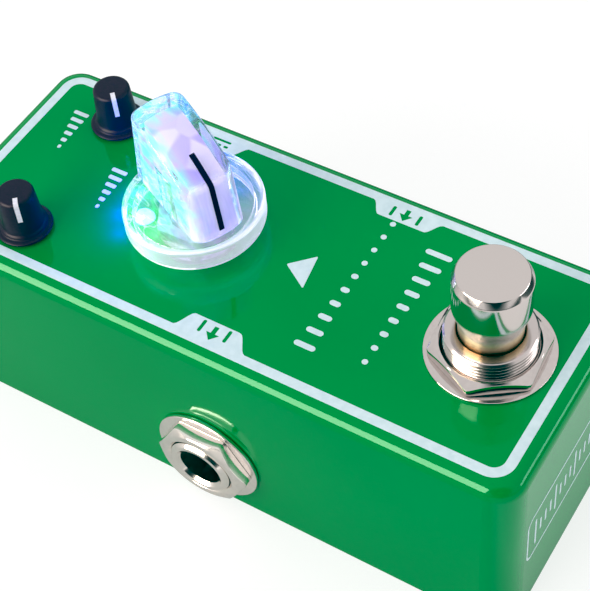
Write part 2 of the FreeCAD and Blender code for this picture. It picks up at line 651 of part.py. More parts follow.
def make_footswitch():
    """Stomp switch: barrel, cap with stem, nuts, frame, body with its spring, and terminals."""
    at = {"y": "-" + switch_back}
    spigot_end = "(-bushing_below - frame_thickness)"
    bore = "neck_radius + neck_gap"
    body = lathe("footswitch_bushing", [
        ("bushing_mouth_radius", "bushing_above"), ("bushing_radius - bushing_chamfer", "bushing_above"),
        ("bushing_radius", "bushing_above - bushing_chamfer"), ("bushing_radius", "-bushing_below"),
        ("spigot_radius", "-bushing_below"), ("spigot_radius", spigot_end), (bore, spigot_end),
        (bore, "bushing_above - bushing_mouth_depth"),
    ])
    keep(place(body, z="housing_height", **at), "footswitch_bushing")

    flange_top = "(-bushing_below - frame_thickness - flange_gap)"
    flange_bottom = "(%s - flange_thickness)" % flange_top
    body = lathe("footswitch_plunger", [
        (0, "cap_top"), ("cap_radius - cap_bevel_width", "cap_top"), ("cap_radius", "cap_top - cap_bevel_height"),
        ("cap_radius", "cap_bottom"), ("neck_radius", "neck_top"), ("neck_radius", flange_top),
        ("flange_radius", flange_top), ("flange_radius", flange_bottom), ("nose_radius", flange_bottom),
        ("nose_radius", flange_bottom + " - nose_length"), (0, flange_bottom + " - nose_length"),
    ])
    keep(place(body, z="housing_height", **at), "footswitch_plunger")

    hole = "bushing_radius + bushing_gap"
    body = ring("footswitch_washer", "stomp_washer_radius", hole, "stomp_washer_thickness")
    keep(place(body, z="housing_height", **at), "footswitch_washer")
    body = hex_nut("footswitch_nut", "stomp_nut_flats", hole, "stomp_nut_thickness")
    place(body, z="housing_height + stomp_washer_thickness", yaw=1, **at)
    bind(body, Placement__Rotation__Angle="stomp_nut_turn")
    keep(body, "footswitch_nut")
    body = ring("footswitch_lock_washer", "lock_washer_radius", hole, "lock_washer_thickness")
    keep(place(body, z=under_panel + " - lock_washer_thickness", **at), "footswitch_lock_washer")
    body = hex_nut("footswitch_inner_nut", "stomp_nut_flats", hole, "inner_nut_thickness", turned=False)
    nut_foot = under_panel + " - lock_washer_thickness - inner_nut_thickness"
    keep(place(body, z=nut_foot, **at), "footswitch_inner_nut")

    body = new_body("footswitch_frame")
    inside = "(switch_width / 2 + bushing_gap)"
    outside = "(switch_width / 2 + bushing_gap + frame_thickness)"
    sketch = outline(sketch_on(body, "XZ_Plane"), [
        (outside, "frame_thickness"), ("-" + outside, "frame_thickness"), ("-" + outside, "-frame_leg"),
        ("-" + inside, "-frame_leg"), ("-" + inside, 0), (inside, 0), (inside, "-frame_leg"),
        (outside, "-frame_leg"),
    ])
    pad(body, sketch, "frame_leg_width", midplane=True)
    sketch = rectangle(sketch_on(body, "XY_Plane"), "-switch_width / 2", "switch_width / 2", "-frame_length / 2",
                       "frame_length / 2")
    pad(body, sketch, "frame_thickness")
    sketch = circle(sketch_on(body, "XY_Plane"), "spigot_radius + bushing_gap")
    pocket(body, sketch, "frame_thickness", along_normal=True)
    keep(place(body, z="housing_height + " + spigot_end, **at), "footswitch_frame")

    case_top = "(housing_height - bushing_below - frame_thickness)"
    body = slab("footswitch_case", "-switch_width / 2", "switch_width / 2", "-switch_length / 2",
                "switch_length / 2", "-switch_height", 0)
    pocket(body, circle(sketch_on(body, "XY_Plane"), "switch_bore"), "switch_bore_depth")
    keep(place(body, z=case_top, **at), "footswitch_case")

    body = new_body("footswitch_spring")
    rest_length = "(switch_bore_depth - flange_gap - flange_thickness)"
    wire = []
    for k in range(WIRE_SIDES):
        angle = "%d deg" % ((k + 0.5) * 360 / WIRE_SIDES)
        wire.append(("spring_radius + spring_wire * cos(%s)" % angle,
                     "spring_wire + neck_gap / 2 + spring_wire * sin(%s)" % angle))
    coil = outline(sketch_on(body, "XZ_Plane"), wire)
    helix = body.newObject("PartDesign::AdditiveHelix", "footswitch_spring_coil")
    helix.Profile = coil
    helix.ReferenceAxis = (coil, ["V_Axis"])
    helix.Mode = "height-turns-angle"
    bind(helix, Height=rest_length + " - 2 * spring_wire - neck_gap", Turns="spring_turns")
    keep(place(body, z=case_top + " - switch_bore_depth", **at), "footswitch_spring")

    blades = []
    for across in (-1, 0, 1):
        for along in (-1, 0, 1):
            x = "(%d * terminal_pitch_across)" % across
            y = "(%d * terminal_pitch_along)" % along
            name = "footswitch_terminal_%d" % len(blades)
            blade = slab(name, x + " - terminal_width / 2", x + " + terminal_width / 2",
                         y + " - terminal_thickness / 2", y + " + terminal_thickness / 2",
                         "main_board_lift - pin_below", case_top + " - switch_height")
            blades.append(place(blade, **at))
    keep(group("footswitch_terminals", blades), "footswitch_terminals")


def crown(x):
    """Height of the grip's sloping top at a distance in front of the axis."""
    return ("(grip_crown_height - grip_crown_radius + sqrt(grip_crown_radius * grip_crown_radius"
            " - (%s + grip_crown_back) * (%s + grip_crown_back)))" % (x, x))


def grip_end(blank, end, way):
    """Cut one end of the grip's block to a cylinder that leans over the knob; way is 1 in front, -1 behind."""
    radius = number("grip_%s_radius" % end)
    lean = "(grip_%s_lean * 1 deg)" % end
    sketch = sketch_on(blank, "XY_Plane", "grip_foot_height")
    sketch.AttachmentOffset = FreeCAD.Placement(FreeCAD.Vector(), FreeCAD.Rotation(FreeCAD.Vector(0, 1, 0), 1))
    bind(sketch, AttachmentOffset__Base__z="grip_foot_height",
         AttachmentOffset__Rotation__Angle="%d * grip_%s_lean" % (-way, end))
    reach = number("grip_width")
    tip = number("grip_%s_foot" % end) * math.cos(math.radians(number("grip_%s_lean" % end)))
    facing = 0 if way > 0 else math.pi
    spread = math.asin(reach / radius)
    curve = Part.Circle(FreeCAD.Vector(way * (tip - radius), 0, 0), FreeCAD.Vector(0, 0, 1), radius)
    sketch.addGeometry(Part.ArcOfCircle(curve, facing - spread, facing + spread), False)
    near = FreeCAD.Vector(way * 2 * reach, -way * reach, 0)
    far = FreeCAD.Vector(way * 2 * reach, way * reach, 0)
    sketch.addGeometry(Part.LineSegment(sketch.getPoint(0, 2), far), False)
    sketch.addGeometry(Part.LineSegment(far, near), False)
    sketch.addGeometry(Part.LineSegment(near, sketch.getPoint(0, 1)), False)
    for k in range(4):
        sketch.addConstraint(Sketcher.Constraint("Coincident", k, 2, (k + 1) % 4, 1))
    pin_point(sketch, 0, 3, "%d * (grip_%s_foot * cos%s - grip_%s_radius)" % (way, end, lean, end), 0)
    pin_radius(sketch, 0, "grip_%s_radius" % end)
    pin_point(sketch, 0, 1, None, "%d * grip_width" % -way)
    pin_point(sketch, 0, 2, None, "%d * grip_width" % way)
    pin_point(sketch, 2, 1, "%d * 2 * skirt_radius" % way, "%d * grip_width" % way)
    pin_point(sketch, 2, 2, "%d * 2 * skirt_radius" % way, "%d * grip_width" % -way)
    return pocket(blank, sketch, "4 * grip_roof", midplane=True)


def make_time_knob():
    """Clear knob: wedge grip with a sloping crown on a hollow skirt; a black line let into its front."""
    blank = new_body("time_knob_blank")
    sketch = rectangle(sketch_on(blank, "XY_Plane", "grip_foot_height"), "-2 * skirt_radius + grip_width",
                       "2 * skirt_radius - grip_width", "-grip_width / 2", "grip_width / 2")
    pad(blank, sketch, "grip_roof - grip_foot_height")
    grip_end(blank, "front", 1)
    leaning = grip_end(blank, "rear", -1)
    round_edges(blank, leaning, edge_names(leaning, rising), "grip_corner_radius")
    doc.recompute()

    # The crown is a cylinder lying across the grip: what stands above it is cut away
    sketch = sketch_on(blank, "XZ_Plane")
    radius = number("grip_crown_radius")
    centre_x = -number("grip_crown_back")
    centre_z = number("grip_crown_height") - radius
    reach = number("skirt_radius")
    spots = []
    for x in (reach, 0.0, -reach):
        spots.append(FreeCAD.Vector(x, centre_z + math.sqrt(radius * radius - (x - centre_x) ** 2), 0))
    roof = number("grip_roof")
    high = FreeCAD.Vector(-reach, roof, 0)
    low = FreeCAD.Vector(reach, roof, 0)
    sketch.addGeometry(Part.Arc(spots[0], spots[1], spots[2]), False)
    sketch.addGeometry(Part.LineSegment(spots[2], high), False)
    sketch.addGeometry(Part.LineSegment(high, low), False)
    sketch.addGeometry(Part.LineSegment(low, spots[0]), False)
    for k in range(4):
        sketch.addConstraint(Sketcher.Constraint("Coincident", k, 2, (k + 1) % 4, 1))
    pin_point(sketch, 2, 1, "-skirt_radius", "grip_roof")
    pin_point(sketch, 3, 1, "skirt_radius", "grip_roof")
    pin_point(sketch, 1, 1, "-skirt_radius", crown("-skirt_radius"))
    pin_point(sketch, 3, 2, "skirt_radius", crown("skirt_radius"))
    pin_radius(sketch, 0, "grip_crown_radius")
    trimmed = pocket(blank, sketch, "3 * grip_width", midplane=True)
    doc.recompute()
    faces = []
    for k, face in enumerate(trimmed.Shape.Faces):
        if face.Surface.TypeId == "Part::GeomCylinder" and abs(face.Surface.Radius - radius) < 0.001:
            faces.append("Face%d" % (k + 1))
    bevel_edges(blank, trimmed, faces, "grip_edge_bevel")

    spin(blank, outline(sketch_on(blank, "XZ_Plane"), [
        ("knob_hollow_radius", 0), ("skirt_foot_radius", 0), ("skirt_radius", "skirt_foot_height"),
        ("skirt_radius", "skirt_side_height"), ("skirt_top_radius", "skirt_height"), (0, "skirt_height"),
        (0, "knob_hollow_height"), ("knob_hollow_radius", "knob_hollow_height"),
    ]))
    hub_top = "(time_shaft_top - knob_lift + hub_gap)"
    sketch = circle(sketch_on(blank, "XY_Plane"), "time_shaft_radius + hub_gap")
    pocket(blank, sketch, hub_top, along_normal=True)

    # The line follows the front and the crown at one depth
    def front(height):
        return "(grip_front_foot - tan(grip_front_lean * 1 deg) * (%s - grip_foot_height))" % height

    crease_x = front(crown(front("grip_crown_height")))
    crease_z = crown(crease_x)
    cutter = new_body("time_knob_line")
    sketch = outline(sketch_on(cutter, "XZ_Plane"), [
        ("indicator_start", crown("indicator_start") + " - indicator_depth"),
        (crease_x + " - indicator_depth", crease_z + " - indicator_depth"),
        (front("indicator_end") + " - indicator_depth", "indicator_end"),
        ("skirt_radius", "indicator_end"), ("skirt_radius", "grip_roof"), ("indicator_start", "grip_roof"),
    ])
    pad(cutter, sketch, "indicator_width", midplane=True)
    for kind, name in (("Cut", "time_knob"), ("Common", "time_knob_indicator")):
        piece = boolean(kind, name, blank, cutter)
        place(piece, y="knob_forward", z="housing_height + knob_lift", yaw=1)
        bind(piece, Placement__Rotation__Angle="knob_turn")
        keep(piece, name)


def potentiometer(name, width, length, neck, neck_top, bore, spindle_below):
    """Potentiometer body: square case under the panel, round neck with the shaft's bore, three pins."""
    body = slab(name, "-%s / 2" % width, "%s / 2" % width, "-%s / 2" % length, "%s / 2" % length,
                "-top_thickness - pot_case_height", "-top_thickness")
    pad(body, circle(sketch_on(body, "XY_Plane", "-top_thickness"), neck), "top_thickness + " + neck_top)
    depth = "%s + %s + shaft_gap" % (neck_top, spindle_below)
    pocket(body, circle(sketch_on(body, "XY_Plane", neck_top), bore), depth)
    sketch = sketch_on(body, "XY_Plane", "-top_thickness - pot_case_height - pot_pin_length")
    for k in (-1, 0, 1):
        x = "(%d * pot_pin_pitch)" % k
        y = "(%s / 2 - pot_pin_width)" % length
        rectangle(sketch, x + " - pot_pin_width / 2", x + " + pot_pin_width / 2", y + " - pot_pin_width / 2",
                  y + " + pot_pin_width / 2")
    pad(body, sketch, "pot_pin_length")
    return body


def make_time_pot():
    """The large knob's potentiometer, with its washer and nut on the panel."""
    at = {"y": "knob_forward", "z": "housing_height"}
    body = potentiometer("time_pot_case", "time_case_width", "time_case_length", "time_bushing_radius",
                         "time_bushing_top", "time_shaft_radius + shaft_gap", "time_shaft_below")
    keep(place(body, **at), "time_pot_case")
    body = lathe("time_pot_shaft", [
        (0, "-time_shaft_below"), ("time_shaft_radius", "-time_shaft_below"),
        ("time_shaft_radius", "time_shaft_top - shaft_bevel"),
        ("time_shaft_radius - shaft_bevel", "time_shaft_top"), (0, "time_shaft_top"),
    ])
    keep(place(body, **at), "time_pot_shaft")
    hole = "time_bushing_radius + bushing_gap"
    body = ring("time_pot_washer", "time_washer_radius", hole, "time_washer_thickness")
    keep(place(body, **at), "time_pot_washer")
    body = hex_nut("time_pot_nut", "time_nut_flats", hole, "time_nut_thickness", turned=False)
    keep(place(body, y="knob_forward", z="housing_height + time_washer_thickness"), "time_pot_nut")


def make_small_control(side, sign):
    """A small knob with its white line, shaft and potentiometer."""
    at = {"x": "%d * %s" % (sign, small_side), "y": small_forward, "z": "housing_height"}
    below = "(top_thickness + pot_case_height / 2)"
    body = potentiometer(side + "_pot_case", "small_case_width", "small_case_width", "collar_radius",
                         "(-collar_gap)", "small_shaft_radius + shaft_gap", below)
    keep(place(body, **at), side + "_pot_case")
    body = lathe(side + "_pot_shaft", [
        (0, "-" + below), ("small_shaft_radius", "-" + below), ("small_shaft_radius", "small_shaft_top"),
        (0, "small_shaft_top"),
    ])
    keep(place(body, **at), side + "_pot_shaft")

    flange_top = "(small_knob_lift + small_flange_height)"
    bevel_foot = "(small_knob_top - small_knob_bevel)"
    blank = lathe(side + "_knob_blank", [
        ("small_shaft_radius + hub_gap", "small_knob_lift"), ("small_flange_radius", "small_knob_lift"),
        ("small_flange_radius", flange_top), ("small_foot_radius", flange_top),
        ("small_head_radius", bevel_foot), ("small_head_radius - small_knob_bevel", "small_knob_top"),
        (0, "small_knob_top"), (0, "small_shaft_top + hub_gap"),
        ("small_shaft_radius + hub_gap", "small_shaft_top + hub_gap"),
    ])
    slope = "((small_foot_radius - small_head_radius) / (%s - %s))" % (bevel_foot, flange_top)
    side_radius = "(small_foot_radius - %s * (pointer_end - %s))" % (slope, flange_top)
    cutter = new_body(side + "_knob_line")
    sketch = outline(sketch_on(cutter, "XZ_Plane"), [
        ("pointer_start", "small_knob_top - pointer_depth"),
        ("small_head_radius - pointer_depth - small_knob_bevel / 2", "small_knob_top - pointer_depth"),
        ("small_head_radius - pointer_depth", "small_knob_top - pointer_depth - small_knob_bevel / 2"),
        (side_radius + " - pointer_depth", "pointer_end"), ("small_flange_radius", "pointer_end"),
        ("small_flange_radius", "small_knob_top + cut_margin"), ("pointer_start", "small_knob_top + cut_margin"),
    ])
    pad(cutter, sketch, "pointer_width", midplane=True)
    for kind, name in (("Cut", side + "_knob"), ("Common", side + "_knob_pointer")):
        piece = place(boolean(kind, name, blank, cutter), yaw=1, **at)
        bind(piece, Placement__Rotation__Angle=side + "_knob_turn")
        keep(piece, name)


def make_lamp():
    """Round lamp under the clear knob, on two leads down to the control board."""
    at = {"x": "-lamp_side", "y": lamp_forward, "z": "housing_height"}
    foot = "(lamp_top - lamp_height)"
    body = lathe("glow_lamp", [
        (0, foot), ("lamp_flange_radius", foot), ("lamp_flange_radius", foot + " + lamp_flange_height"),
        ("lamp_radius", foot + " + lamp_flange_height"), ("lamp_radius", "lamp_top - lamp_dome_height"),
        ("lamp_dome_radius", "lamp_top - lamp_dome_cap"), (0, "lamp_top"),
    ])
    keep(place(body, **at), "glow_lamp")
    lead_length = "(%s + housing_height - %s + pin_below)" % (foot, control_under)
    leads = []
    for sign in (-1, 1):
        lead = doc.addObject("Part::Cylinder", "lamp_lead")
        bind(lead, Radius="lead_radius", Height=lead_length)
        place(lead, "-lamp_side + %d * lead_pitch" % sign, lamp_forward,
              "housing_height + %s - %s" % (foot, lead_length))
        leads.append(lead)
    keep(group("lamp_leads", leads), "lamp_leads")


def strip(name, corners_xz, width):
    """Bent sheet strip: a side view in X and Z, with its width along Y."""
    body = new_body(name)
    pad(body, outline(sketch_on(body, "XZ_Plane"), corners_xz), width, midplane=True)
    return body


def make_jack(side, turn):
    """Panel jack in its own frame: local Z points out of the wall and local X points up."""
    sign = -1 if turn == 0 else 1
    at = {"x": "%d * %s" % (sign, jack_face), "y": "-%s_back" % side, "z": "jack_height"}
    at.update({"yaw": turn, "pitch": -90})
    inside = "(%s - %s)" % (jack_face, inner_half_width)
    seat = "(%s + jack_seat)" % inside
    down = "(jack_height - %s)" % board_top
    groove = "(jack_bore_radius + tongue_thickness + 2 * tongue_gap)"

    body = lathe(side + "_jack_bushing", [
        ("jack_bore_radius + jack_mouth", "jack_reach"),
        ("jack_thread_radius - jack_thread_chamfer", "jack_reach"),
        ("jack_thread_radius", "jack_reach - jack_thread_chamfer"), ("jack_thread_radius", "-" + seat),
        ("jack_bore_radius", "-" + seat), ("jack_bore_radius", "jack_reach - jack_mouth"),
    ])
    slot_half = "(tongue_width / 2 + tongue_gap)"
    sketch = sketch_on(body, "XY_Plane", "-" + seat)
    rectangle(sketch, "-" + groove, "-jack_bore_radius + tongue_thickness", "-" + slot_half, slot_half)
    pocket(body, sketch, seat + " + jack_reach - tongue_inset + tongue_gap", along_normal=True)
    keep(place(body, **at), side + "_jack_bushing")

    hole = "jack_thread_radius + jack_gap"
    body = ring(side + "_jack_washer", "jack_washer_radius", hole, "jack_washer_thickness")
    keep(place(body, **at), side + "_jack_washer")
    body = hex_nut(side + "_jack_nut", "jack_nut_flats", hole, "jack_nut_thickness")
    lift = {**at, "x": "%d * (%s + jack_washer_thickness)" % (sign, jack_face)}
    keep(place(body, **lift), side + "_jack_nut")

    end = "(%s + jack_case_length)" % inside
    body = slab(side + "_jack_case", "-" + down, "jack_case_above", "-jack_case_width / 2", "jack_case_width / 2",
                "-" + end, "-" + inside)
    pocket(body, circle(sketch_on(body, "XY_Plane", "-" + inside), "jack_case_bore"),
           "jack_case_length - jack_case_end")
    pocket(body, circle(sketch_on(body, "XY_Plane", "-" + inside), hole), "jack_seat")
    leg_back = "(%s + tongue_back)" % seat
    tip_leg = "(%s + tip_spring_back)" % inside
    sketch = sketch_on(body, "XZ_Plane")
    foot = "-%s - cut_margin" % down
    rectangle(sketch, foot, "-jack_case_bore / 2", "-%s - tongue_gap" % leg_back, "-" + seat)
    rectangle(sketch, foot, "-jack_case_bore / 2", "-%s - tongue_thickness - tongue_gap" % tip_leg,
              "-%s + tongue_gap" % tip_leg)
    pocket(body, sketch, "2 * " + slot_half, midplane=True)
    keep(place(body, **at), side + "_jack_case")

    pin_end = "(%s + board_thickness + pin_below)" % down
    near = "(jack_bore_radius + tongue_gap)"
    far = "(jack_bore_radius + tongue_gap + tongue_thickness)"
    sleeve = strip(side + "_sleeve_spring", [
        ("-" + near, "jack_reach - tongue_inset"), ("-" + far, "jack_reach - tongue_inset"),
        ("-" + far, "-%s + tongue_thickness" % leg_back), ("-" + pin_end, "-%s + tongue_thickness" % leg_back),
        ("-" + pin_end, "-" + leg_back), ("-" + near, "-" + leg_back),
    ], "tongue_width")
    bend = "(jack_bore_radius - tongue_thickness - tongue_gap)"
    reach = "(%s - tip_spring_rise)" % bend
    tip = strip(side + "_tip_spring", [
        ("-" + pin_end, "-%s - tongue_thickness" % tip_leg), ("-" + bend, "-%s - tongue_thickness" % tip_leg),
        ("-" + reach, "-%s + tip_spring_run" % tip_leg),
        ("-%s - tongue_thickness" % reach, "-%s + tip_spring_run" % tip_leg),
        ("-%s - tongue_thickness" % bend, "-" + tip_leg), ("-" + pin_end, "-" + tip_leg),
    ], "tongue_width")
    contacts = [place(sleeve, **at), place(tip, **at)]
    keep(group(side + "_jack_contacts", contacts), side + "_jack_contacts")


def make_power_inlet():
    """Barrel power inlet: moulded body with a round snout, centre pin and two contacts."""
    at = {"x": power_face, "y": power_forward, "z": "power_height", "yaw": 180, "pitch": -90}
    inside = "(%s - %s)" % (power_face, inner_half_width)
    end = "(%s + power_case_length)" % inside
    down = "(power_height - %s)" % board_top
    body = slab("dc_jack_case", "-" + down, "power_case_above", "-power_case_width / 2", "power_case_width / 2",
                "-" + end, "-" + inside)
    pad(body, circle(sketch_on(body, "XY_Plane", "-" + inside), "power_snout_radius"), inside + " - power_recess")
    pocket(body, circle(sketch_on(body, "XY_Plane", "-power_recess"), "power_bore_radius"), "power_bore_depth")
    pocket(body, circle(sketch_on(body, "XY_Plane", "-power_recess"), "power_root_radius"),
           "power_bore_depth + power_root_length")
    slot_half = "(tongue_width / 2 + tongue_gap)"
    leg = "(%s + power_leg_back)" % inside
    sketch = rectangle(sketch_on(body, "XZ_Plane"), "-%s - cut_margin" % down, "-power_bore_radius / 2",
                       "-%s - tongue_thickness - tongue_gap" % leg, "-%s + tongue_gap" % leg)
    pocket(body, sketch, "2 * " + slot_half, midplane=True)
    keep(place(body, **at), "dc_jack_case")

    floor = "(power_recess + power_bore_depth)"
    foot = "(%s + power_root_length)" % floor
    tip = "(power_recess + power_pin_back)"
    body = lathe("dc_jack_pin", [
        (0, "-" + foot), ("power_root_radius", "-" + foot), ("power_root_radius", "-" + floor),
        ("power_pin_radius", "-" + floor), ("power_pin_radius", "-%s - power_pin_radius / 2" % tip),
        ("power_pin_radius / 2", "-" + tip), (0, "-" + tip),
    ])
    keep(place(body, **at), "dc_jack_pin")

    pin_end = "(%s + board_thickness + pin_below)" % down
    spring = strip("dc_jack_sleeve_spring", [
        ("-" + pin_end, "-" + leg), ("-power_bore_radius", "-" + leg),
        ("-power_bore_radius", "-%s - tongue_thickness" % leg), ("-" + pin_end, "-%s - tongue_thickness" % leg),
    ], "tongue_width")
    tail = strip("dc_jack_pin_tail", [
        ("power_pin_radius", "-%s - tongue_gap" % end),
        ("power_pin_radius", "-%s - tongue_gap - tongue_thickness" % end),
        ("-" + pin_end, "-%s - tongue_gap - tongue_thickness" % end), ("-" + pin_end, "-%s - tongue_gap" % end),
    ], "tongue_width")
    keep(group("dc_jack_contacts", [place(spring, **at), place(tail, **at)]), "dc_jack_contacts")


def board_holes(body, plane_height, holes, length):
    """Square-cornered slots through a board at (x, y, width, depth) formulas."""
    sketch = sketch_on(body, "XY_Plane", plane_height)
    for x, y, width, depth in holes:
        rectangle(sketch, "%s - %s / 2" % (x, width), "%s + %s / 2" % (x, width), "%s - %s / 2" % (y, depth),
                  "%s + %s / 2" % (y, depth))
    pocket(body, sketch, length, along_normal=True)


def make_main_board():
    """Main board: notched round the posts, slotted for the switch terminals and the jacks' pins."""
    body = new_body("main_board")
    reach_x = "(%s - board_gap)" % inner_half_width
    reach_y = "(%s - board_gap)" % inner_half_length
    notch_x = "(%s - post_reach - post_clearance)" % post_x
    notch_y = "(%s - post_reach - post_clearance)" % post_y
    sketch = sketch_on(body, "XY_Plane", "main_board_lift")
    pad(body, outline(sketch, notched(reach_x, reach_y, notch_x, notch_y)), "board_thickness")
    holes = []
    for across in (-1, 0, 1):
        for along in (-1, 0, 1):
            holes.append(("(%d * terminal_pitch_across)" % across,
                          "(%d * terminal_pitch_along - %s)" % (along, switch_back),
                          "(terminal_width + 2 * tongue_gap)", "(terminal_thickness + 2 * tongue_gap)"))
    leg_width = "(tongue_width + 2 * tongue_gap)"
    leg_depth = "(tongue_thickness + 2 * tongue_gap)"
    for side, sign in (("output", -1), ("input", 1)):
        sleeve = "%d * (%s - jack_seat - tongue_back + tongue_thickness / 2)" % (sign, inner_half_width)
        tip = "%d * (%s - tip_spring_back - tongue_thickness / 2)" % (sign, inner_half_width)
        for x in (sleeve, tip):
            holes.append(("(%s)" % x, "(-%s_back)" % side, leg_depth, leg_width))
    for back in ("power_leg_back", "(power_case_length + tongue_gap)"):
        x = "(%s - %s - tongue_thickness / 2)" % (inner_half_width, back)
        holes.append((x, power_forward, leg_depth, leg_width))
    board_holes(body, "main_board_lift", holes, "board_thickness")
    keep(body, "main_board")


def make_control_board():
    """Upper board that carries the potentiometers and the lamp."""
    body = new_body("control_board")
    notch_x = "(%s - post_reach - post_clearance)" % post_x
    notch_y = "(%s - post_reach - post_clearance)" % post_y
    sketch = outline(sketch_on(body, "XY_Plane", control_under), [
        ("-" + board_side, "control_board_start"), (board_side, "control_board_start"), (board_side, notch_y),
        (notch_x, notch_y), (notch_x, board_end), ("-" + notch_x, board_end), ("-" + notch_x, notch_y),
        ("-" + board_side, notch_y),
    ])
    pad(body, sketch, "board_thickness")
    pin = "(pot_pin_width + 2 * tongue_gap)"
    holes = []
    pots = [("0", "knob_forward", "time_case_length"), ("-" + small_side, small_forward, "small_case_width"),
            (small_side, small_forward, "small_case_width")]
    for x, y, length in pots:
        for k in (-1, 0, 1):
            holes.append(("(%s + %d * pot_pin_pitch)" % (x, k), "(%s + %s / 2 - pot_pin_width)" % (y, length),
                          pin, pin))
    lead = "(2 * lead_radius + 2 * tongue_gap)"
    for sign in (-1, 1):
        holes.append(("(-lamp_side + %d * lead_pitch)" % sign, lamp_forward, lead, lead))
    header = "(header_pin + 2 * header_pin_gap)"
    for k in range(PIN_COUNT):
        holes.append(("(%.1f * header_pitch)" % (k - (PIN_COUNT - 1) / 2), header_forward, header, header))
    board_holes(body, control_under, holes, "board_thickness")
    keep(body, "control_board")


def make_board_connector():
    """Pin strip under the control board and the socket strip it stands in."""
    half = "(%d * header_pitch / 2)" % PIN_COUNT
    near = header_forward + " - header_width / 2"
    far = header_forward + " + header_width / 2"
    body = slab("board_socket", "-" + half, half, near, far, board_top, board_top + " + socket_height")
    hole = "(header_pin + 2 * header_pin_gap)"
    holes = []
    for k in range(PIN_COUNT):
        holes.append(("(%.1f * header_pitch)" % (k - (PIN_COUNT - 1) / 2), header_forward, hole, hole))
    depth = "(header_pin_depth + header_pin_gap)"
    board_holes(body, board_top + " + socket_height - " + depth, holes, depth)
    keep(body, "board_socket")

    body = slab("board_header", "-" + half, half, near, far, control_under + " - header_height", control_under)
    pin_foot = board_top + " + socket_height - header_pin_depth"
    sketch = sketch_on(body, "XY_Plane", pin_foot)
    for k in range(PIN_COUNT):
        x = "(%.1f * header_pitch)" % (k - (PIN_COUNT - 1) / 2)
        rectangle(sketch, x + " - header_pin / 2", x + " + header_pin / 2", header_forward + " - header_pin / 2",
                  header_forward + " + header_pin / 2")
    pad(body, sketch, "%s + board_thickness + pin_below - (%s)" % (control_under, pin_foot))
    keep(body, "board_header")


def chip(name, x, y, length, leg_count):
    """Chip in a dual in-line case: moulded body and two rows of legs that stand on the board."""
    body = slab(name, "%s - %s / 2" % (x, length), "%s + %s / 2" % (x, length), "%s - chip_width / 2" % y,
                "%s + chip_width / 2" % y, board_top + " + chip_lift", board_top + " + chip_lift + chip_height")
    for sign in (-1, 1):
        sketch = sketch_on(body, "XY_Plane", board_top)
        for k in range(leg_count):
            leg = "(%s + %.2f)" % (x, (k - (leg_count - 1) / 2) * CHIP_PITCH)
            edge = "(%s + %d * chip_width / 2)" % (y, sign)
            low = edge if sign > 0 else "(%s - chip_leg_thickness)" % edge
            rectangle(sketch, leg + " - chip_leg_width / 2", leg + " + chip_leg_width / 2", low,
                      low + " + chip_leg_thickness")
        pad(body, sketch, "chip_lift + chip_height / 2")
    return body


def make_board_parts():
    """Delay chip, two amplifier chips, three capacitors and the voltage regulator on the main board."""
    keep(chip("delay_chip", "0", chip_forward, "chip_length", DELAY_CHIP_LEGS), "delay_chip")
    chips = []
    for k, y in enumerate((near_row, far_row)):
        chips.append(chip("amplifier_chip_%d" % k, "(-amplifier_side)", y, "amplifier_length", AMPLIFIER_LEGS))
    keep(group("amplifier_chips", chips), "amplifier_chips")

    cans = []
    spots = [("-" + capacitor_side, chip_forward), (capacitor_side, chip_forward), ("-" + inner_side, far_row)]
    for x, y in spots:
        can = lathe("capacitor_%d" % len(cans), [
            (0, 0), ("capacitor_radius", 0), ("capacitor_radius", "capacitor_height"), (0, "capacitor_height"),
        ])
        cans.append(place(can, x, y, board_top))
    keep(group("capacitors", cans), "capacitors")

    body = new_body("voltage_regulator")
    pad(body, circle(sketch_on(body, "XY_Plane", "regulator_lift"), "regulator_radius"), "regulator_height")
    sketch = sketch_on(body, "XY_Plane", "regulator_lift")
    rectangle(sketch, "-2 * regulator_radius", "2 * regulator_radius", "regulator_radius / 2",
              "2 * regulator_radius")
    pocket(body, sketch, "regulator_height", along_normal=True)
    sketch = sketch_on(body, "XY_Plane")
    for k in (-1, 0, 1):
        x = "(%d * regulator_radius / 2)" % k
        rectangle(sketch, x + " - chip_leg_width / 2", x + " + chip_leg_width / 2", "-chip_leg_width / 2",
                  "chip_leg_width / 2")
    pad(body, sketch, "regulator_lift + chip_leg_width")
    keep(place(body, "-" + inner_side, near_row, board_top), "voltage_regulator")


make_housing()
make_bottom_plate()
make_screws()
make_footswitch()
make_time_knob()
make_time_pot()
make_small_control("left", -1)
make_small_control("right", 1)
make_lamp()
for jack_side, jack_turn in JACK_SIDES.items():
    make_jack(jack_side, jack_turn)
make_power_inlet()
make_main_board()
make_control_board()
make_board_connector()
make_board_parts()
doc.recompute()

for thing in doc.Objects:
    if "Invalid" in thing.State or "Error" in thing.State:
        raise RuntimeError("%s failed: %s" % (thing.Name, thing.State))
for piece in pieces:
    if piece.Shape.isNull() or not piece.Shape.isValid() or piece.Shape.Volume <= 0:
        raise RuntimeError("%s has no valid solid" % piece.Label)

os.makedirs("parts", exist_ok=True)
for piece in pieces:
    piece.Shape.exportStep("parts/%s.step" % piece.Label)
    print("%-26s %2d solid(s) %9.1f mm3" % (piece.Label, len(piece.Shape.Solids), piece.Shape.Volume))
print("%d nodes" % len(pieces))
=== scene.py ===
import math

